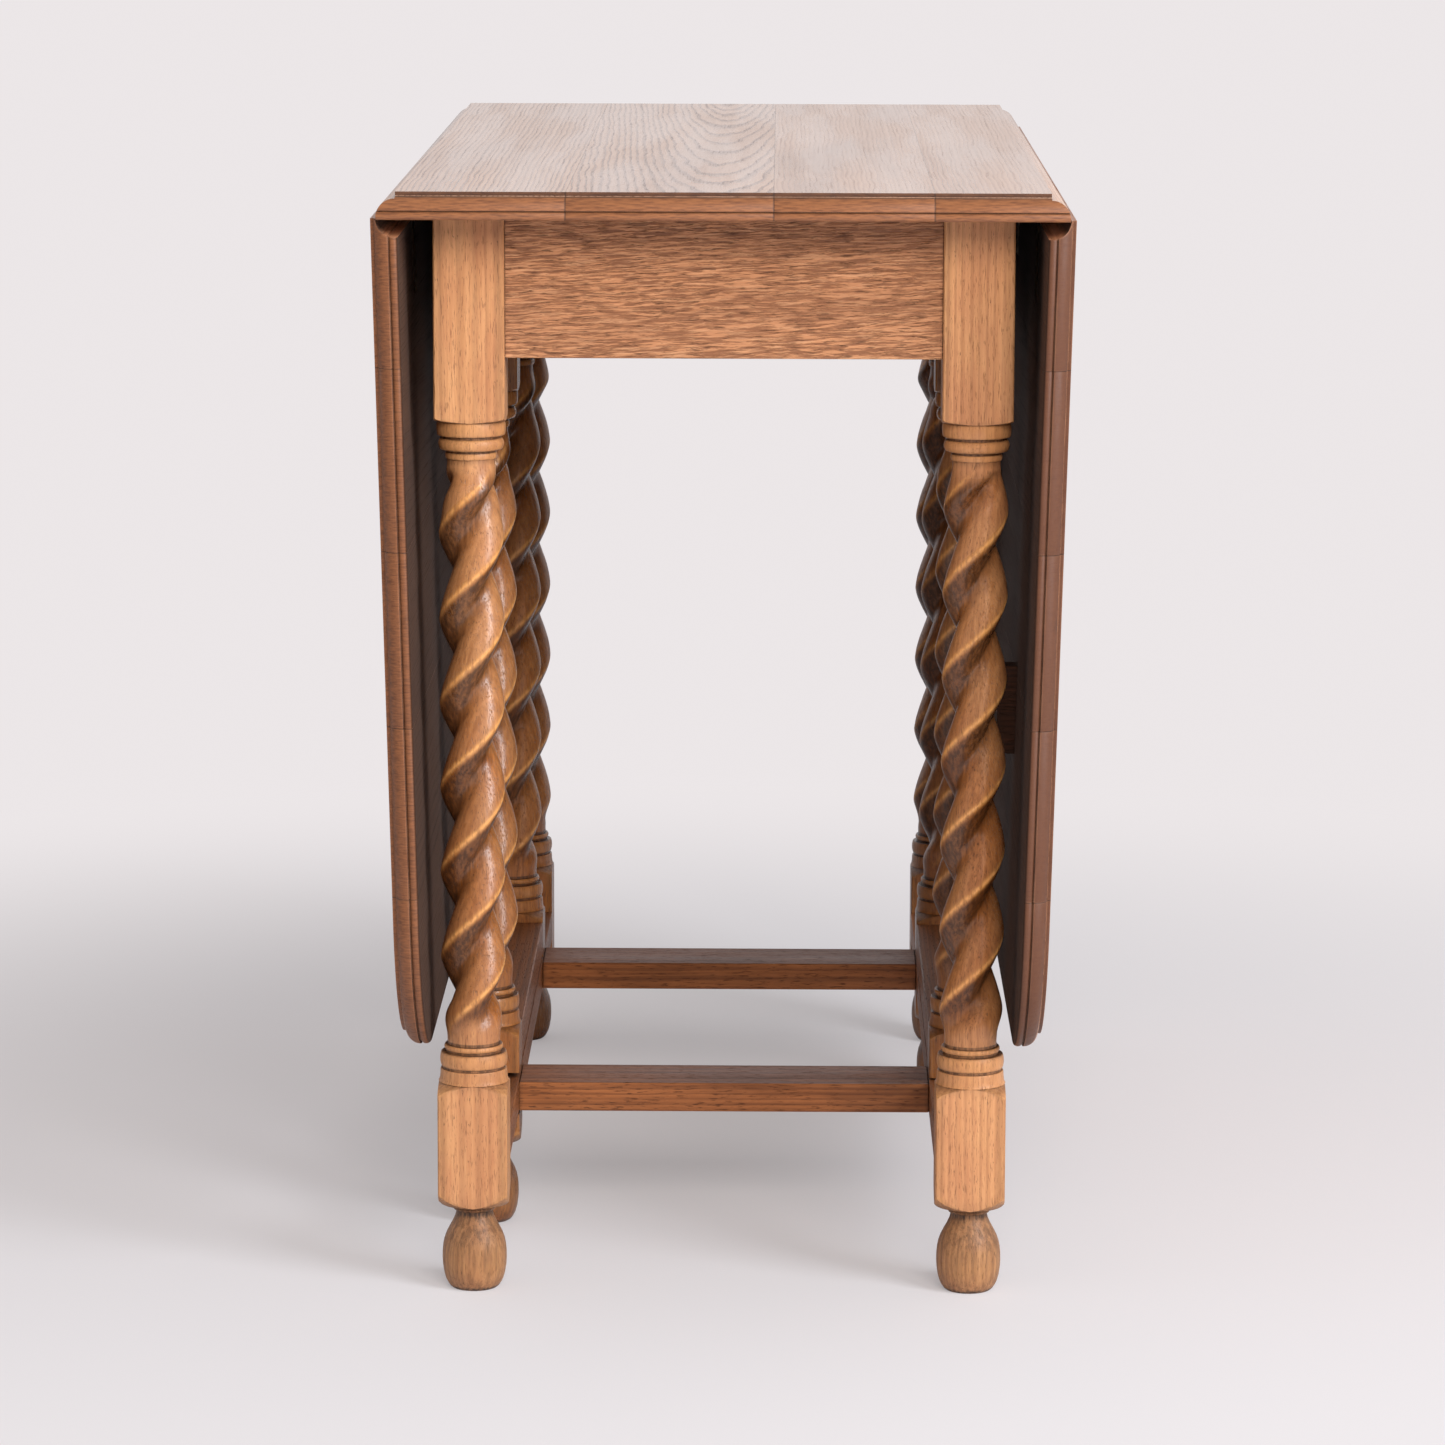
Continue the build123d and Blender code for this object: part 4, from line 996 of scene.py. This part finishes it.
# Each board's own pith, which lies beside it, the width of its growth rings and their contrast
TOP_BOARDS = (
    {"pith": (0.42, 0.06), "spacing": 3.6 * MM, "contrast": 1.0},
    {"pith": (0.0, 0.055), "spacing": 3.8 * MM, "contrast": 1.15, "tilt": (math.radians(2.6), 0, 0)},
    {"pith": (0.40, 0.30), "spacing": 2.6 * MM, "contrast": 0.45, "patches": 0.45},
    {"pith": (0.32, 0.15), "spacing": 3.0 * MM, "contrast": 0.5},
)
LEAF_BOARDS = (
    {"pith": (0.10, 0.25), "spacing": 3.4 * MM, "contrast": 0.5},
    {"pith": (0.055, 0.01), "spacing": 5.0 * MM, "contrast": 0.65, "tilt": (math.radians(2.2), 0, 0)},
    {"pith": (0.05, 0.32), "spacing": 3.0 * MM, "contrast": 0.45},
    {"pith": (0.10, -0.10), "spacing": 4.0 * MM, "contrast": 0.55},
    {"pith": (0.08, 0.22), "spacing": 3.4 * MM, "contrast": 0.5},
)
FLAME_BOARD = 2                 # board of the top whose flame figure lies beside its middle
FLAME_SHIFT = 30 * MM           # how far beside the middle it lies
# The fillet's dark is painted shade
SHADED_FILLET = 3.6 * MM               # height of the dark fillet at the top of the moulded ends
LEAF_SHIFT = 110 * MM           # how far the figure moves along from one leaf board to the next


def dress(node, material, soften=0.0):
    """Give a CAD node its finish, and soften its edges."""
    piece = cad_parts[node]
    if not piece.material_slots:
        piece.data.materials.append(None)
    for slot in piece.material_slots:
        slot.material = material
    if soften:
        weld = piece.modifiers.new("weld", "WELD")
        weld.merge_threshold = 1e-5
        merge = piece.modifiers.new("merge flats", "DECIMATE")
        merge.decimate_type = "DISSOLVE"
        merge.angle_limit = math.radians(0.6)
        bevel = piece.modifiers.new("soft edges", "BEVEL")
        bevel.width = soften
        bevel.segments = 2
        bevel.limit_method = "ANGLE"
        bevel.angle_limit = math.radians(34)
        bevel.harden_normals = False


def dress_top(wood, edge):
    """Finish the four boards of the top."""
    colours = (wood.top_light, wood.top_middle, wood.top_dark, wood.mould_light, wood.mould_dark)
    for number, board in enumerate(TOP_BOARDS, start=1):
        node = f"top_board_{number}"
        low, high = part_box(node)
        shift = FLAME_SHIFT if number == FLAME_BOARD else 0.0
        centre = tuple((low + high) / 2 + Vector((shift, 0, 0)))
        sides = ((low.x, number > 1), (high.x, number < len(TOP_BOARDS)))
        joints = [place for place, inner in sides if inner]
        look = TOP_LOOK | board | {"centre": centre, "shaded_fillet": high.z - SHADED_FILLET}
        dress(node, board_finish(f"waxed oak, {node}", wood, colours, ("X", joints), look), edge)


def dress_leaf(side, inward, ends, wood, edge):
    """Finish the five boards of a leaf, whose inner face is painted dark as shade."""
    colours = (wood.leaf_light, wood.leaf_middle, wood.leaf_dark, *ends)
    for number, board in enumerate(LEAF_BOARDS, start=1):
        node = f"{side}_leaf_board_{number}"
        low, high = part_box(node)
        centre = tuple((low + high) / 2 + Vector((0, LEAF_SHIFT * number, 0)))
        sides = ((high.z, number > 1), (low.z, number < len(LEAF_BOARDS)))
        joints = [place for place, inner in sides if inner]
        look = LEAF_LOOK | board | {"centre": centre, "inside": (inward, 0, 0)}
        dress(node, board_finish(f"waxed oak, {node}", wood, colours, ("Z", joints), look), edge)


class TABLE_OT_boards(bpy.types.Operator):
    """Finish the boards of the top and the leaves."""

    bl_idname = "table.boards"
    bl_label = "Top and Leaf Boards"

    def execute(self, context):
        wood = context.scene.table_wood
        edge = context.scene.table_edges.board_edge
        dress_top(wood, edge)
        dress_leaf("left", 1, (wood.edge_light, wood.edge_dark), wood, edge)
        # The right leaf's ends take darker colours: painted shade
        dress_leaf("right", -1, (wood.edge_shade, wood.leaf_dark), wood, edge)
        return {"FINISHED"}


class TABLE_OT_rails(bpy.types.Operator):
    """Finish the aprons, rails and stretchers."""

    bl_idname = "table.rails"
    bl_label = "Aprons, Rails and Stretchers"

    def execute(self, context):
        wood = context.scene.table_wood
        edges = context.scene.table_edges
        colours = (wood.rail_light, wood.rail_middle, wood.rail_dark)
        apron = apron_finish(wood)
        cross = rail_finish("waxed oak, stretchers", "X", wood, colours, 0.40)
        long = rail_finish("waxed oak, rails", "Y", wood, colours, 0.40)
        for end in ENDS:
            dress(f"apron_{end}", apron, edges.rail_edge)
            dress(f"cross_stretcher_{end}", cross, edges.stretcher_edge)
        for side in SIDES:
            dress(f"{side}_side_rail", long, edges.rail_edge)
            for part in ("side_stretcher", "gate_lower_rail", "gate_upper_rail"):
                dress(f"{side}_{part}", long, edges.stretcher_edge)
        return {"FINISHED"}


class TABLE_OT_fittings(bpy.types.Operator):
    """Finish the hinges, pins, screws and the blocks under the top."""

    bl_idname = "table.fittings"
    bl_label = "Hinges, Screws and Blocks"

    def execute(self, context):
        metals = context.scene.table_metal
        wood = context.scene.table_wood
        edge = context.scene.table_edges.block_edge
        brass = metal("aged brass", metals.brass, metals.brass_tarnish, 0.38)
        steel = metal("darkened steel", metals.steel, metals.steel_tarnish, 0.45)
        colours = (wood.rail_middle, wood.hidden_middle, wood.rail_dark)
        plain = rail_finish("stained oak, blocks", "X", wood, colours, 0.62, 0.2)
        shades = (wood.leaf_dark, wood.stop_dark, wood.hollow)
        stop = rail_finish("stained oak, stop blocks", "X", wood, shades, 0.70, 0.1)
        steel_parts = (
            "hinge_pins", "fixed_hinge_screws", "leaf_hinge_screws", "leaf_stop_screws",
            "gate_pivot_pins", "pivot_washers",
        )
        for side in SIDES:
            for part in ("fixed_hinge_flaps", "leaf_hinge_flaps"):
                dress(f"{side}_{part}", brass)
            for part in steel_parts:
                dress(f"{side}_{part}", steel)
            dress(f"{side}_leaf_stop_block", stop, edge)
        dress("glue_blocks", plain, edge)
        dress("glue_block_screws", steel)
        return {"FINISHED"}


# ---------------------------------------------------------------- stage

FLOOR_REACH = 40.0              # from the table to the edge of the floor, in metres
AIM = (0.0, 0.0, 0.4)           # point that both lamps are aimed at
WINDOW_SIZE = (1.8, 2.4)        # width and height, in metres
WINDOW_COLOUR = (0.88, 0.94, 1.0)
FRONT_SIZE = (2.0, 1.4)         # width and height, in metres
FRONT_COLOUR = (1.0, 0.965, 0.925)


def pale_floor(settings):
    """Wide plain floor; away from the table it shows as evenly pale."""
    mesh = bmesh.new()
    bmesh.ops.create_grid(mesh, x_segments=1, y_segments=1, size=FLOOR_REACH)
    data = bpy.data.meshes.new("floor")
    mesh.to_mesh(data)
    mesh.free()
    floor = bpy.data.objects.new("floor", data)
    bpy.context.scene.collection.objects.link(floor)
    make = Finish(bpy.data.materials.new("pale floor"))
    place = make.add("TexCoord", None, 3)
    cloud = make.noise(place, 1.5, 3, 0.5)
    tone = make.mix(make.math("MULTIPLY", cloud, 0.06), settings.floor, (1.0, 0.99, 0.98))
    finish = make.surface(Base_Color=tone, Roughness=0.85)
    near = make.tree.nodes["Principled BSDF"].outputs[0]
    away = make.add("VectorMath", {0: place}, 1, operation="LENGTH")
    far = make.remap(away, settings.shadow_reach * 0.35, settings.shadow_reach, 0.35, 1.0)
    seen = make.math("MULTIPLY", far, make.add("LightPath", None, 0))
    glow = make.add("Emission", {"Color": settings.floor, "Strength": settings.paleness})
    mixed = make.add("MixShader", {0: seen, 1: near, 2: glow})
    make.feed(make.tree.nodes["Material Output"].inputs["Surface"], mixed)
    data.materials.append(finish)


def pale_room(settings):
    """World that lights softly, shows pale, and is mirrored as a pale wall behind the table."""
    world = bpy.data.worlds.new("room")
    make = Finish(world)
    direction = make.add("TexCoord", None, 0)
    behind = make.remap(make.add("SeparateXYZ", {0: direction}, 1), 0.0, 0.5)
    low = make.remap(make.add("SeparateXYZ", {0: direction}, 2), 0.75, 0.35)
    wall = make.math("MULTIPLY", behind, low)
    mirrored = make.math("MULTIPLY", wall, make.add("LightPath", None, 3))
    shown = make.math("MAXIMUM", mirrored, make.add("LightPath", None, 0))
    strength = make.remap(shown, 0.0, 1.0, settings.sky_strength, settings.paleness)
    tone = make.mix(shown, (0.96, 0.97, 1.0), settings.floor)
    room = make.add("Background", {"Color": tone, "Strength": strength})
    out = make.tree.nodes.new("ShaderNodeOutputWorld")
    make.feed(out.inputs["Surface"], room)
    bpy.context.scene.world = world


def lamp(name, power, size, place, colour, mirrored=True):
    """Soft rectangular light aimed at the table; polished wood may mirror it."""
    data = bpy.data.lights.new(name, "AREA")
    data.shape = "RECTANGLE"
    data.size, data.size_y = size
    data.energy = power
    data.color = colour
    light = bpy.data.objects.new(name, data)
    bpy.context.scene.collection.objects.link(light)
    light.visible_glossy = mirrored
    light.location = place
    light.rotation_euler = (Vector(AIM) - Vector(place)).to_track_quat("-Z", "Y").to_euler()


def stand_camera(settings):
    """Camera at a little more than table height, looking slightly down."""
    data = bpy.data.cameras.new("camera")
    data.sensor_width = 36.0
    data.lens = settings.camera_lens
    data.clip_start = 0.05
    data.clip_end = 200.0
    camera = bpy.data.objects.new("camera", data)
    bpy.context.scene.collection.objects.link(camera)
    camera.matrix_world = (
        Matrix.Translation(settings.camera_place)
        @ Matrix.Rotation(settings.camera_turn, 4, "Z")
        @ Matrix.Rotation(math.pi / 2 - settings.camera_pitch, 4, "X")
        @ Matrix.Rotation(settings.camera_roll, 4, "Z")
    )
    return camera


class TABLE_OT_stage(bpy.types.Operator):
    """Set up the floor, the lights and the camera."""

    bl_idname = "table.stage"
    bl_label = "Stage"

    def execute(self, context):
        settings = context.scene.table_stage
        scene = context.scene
        pale_floor(settings)
        pale_room(settings)
        lamp("window", settings.window_power, WINDOW_SIZE, settings.window_place, WINDOW_COLOUR)
        lamp("front", settings.front_power, FRONT_SIZE, settings.front_place, FRONT_COLOUR, False)
        scene.view_settings.view_transform = "Standard"
        scene.camera = stand_camera(settings)
        return {"FINISHED"}


class TABLE_PT_panel(bpy.types.Panel):
    """Sizes, colours and steps of the table."""

    bl_idname = "TABLE_PT_panel"
    bl_label = "Drop Leaf Table"
    bl_space_type = "VIEW_3D"
    bl_region_type = "UI"
    bl_category = "Table"

    def draw(self, context):
        for name, group in SETTINGS.items():
            box = self.layout.box()
            for setting in group.__annotations__:
                box.prop(getattr(context.scene, name), setting)
        for step in OPERATORS:
            self.layout.operator(step.bl_idname)


SETTINGS = {
    "table_posts": TablePostSettings,
    "table_wood": TableWoodSettings,
    "table_metal": TableMetalSettings,
    "table_edges": TableEdgeSettings,
    "table_stage": TableStageSettings,
}
OPERATORS = (TABLE_OT_turned_posts, TABLE_OT_boards, TABLE_OT_rails, TABLE_OT_fittings, TABLE_OT_stage)


def register():
    """Register the settings, the steps and the panel."""
    for name, group in SETTINGS.items():
        bpy.utils.register_class(group)
        setattr(bpy.types.Scene, name, PointerProperty(type=group))
    for step in OPERATORS:
        bpy.utils.register_class(step)
    bpy.utils.register_class(TABLE_PT_panel)


def unregister():
    """Take away what register adds."""
    bpy.utils.unregister_class(TABLE_PT_panel)
    for step in reversed(OPERATORS):
        bpy.utils.unregister_class(step)
    for name, group in SETTINGS.items():
        delattr(bpy.types.Scene, name)
        bpy.utils.unregister_class(group)


def main():
    """Build the table step by step."""
    register()
    bpy.ops.table.turned_posts()
    bpy.ops.table.boards()
    bpy.ops.table.rails()
    bpy.ops.table.fittings()
    bpy.ops.table.stage()


if __name__ == "__main__":
    main()
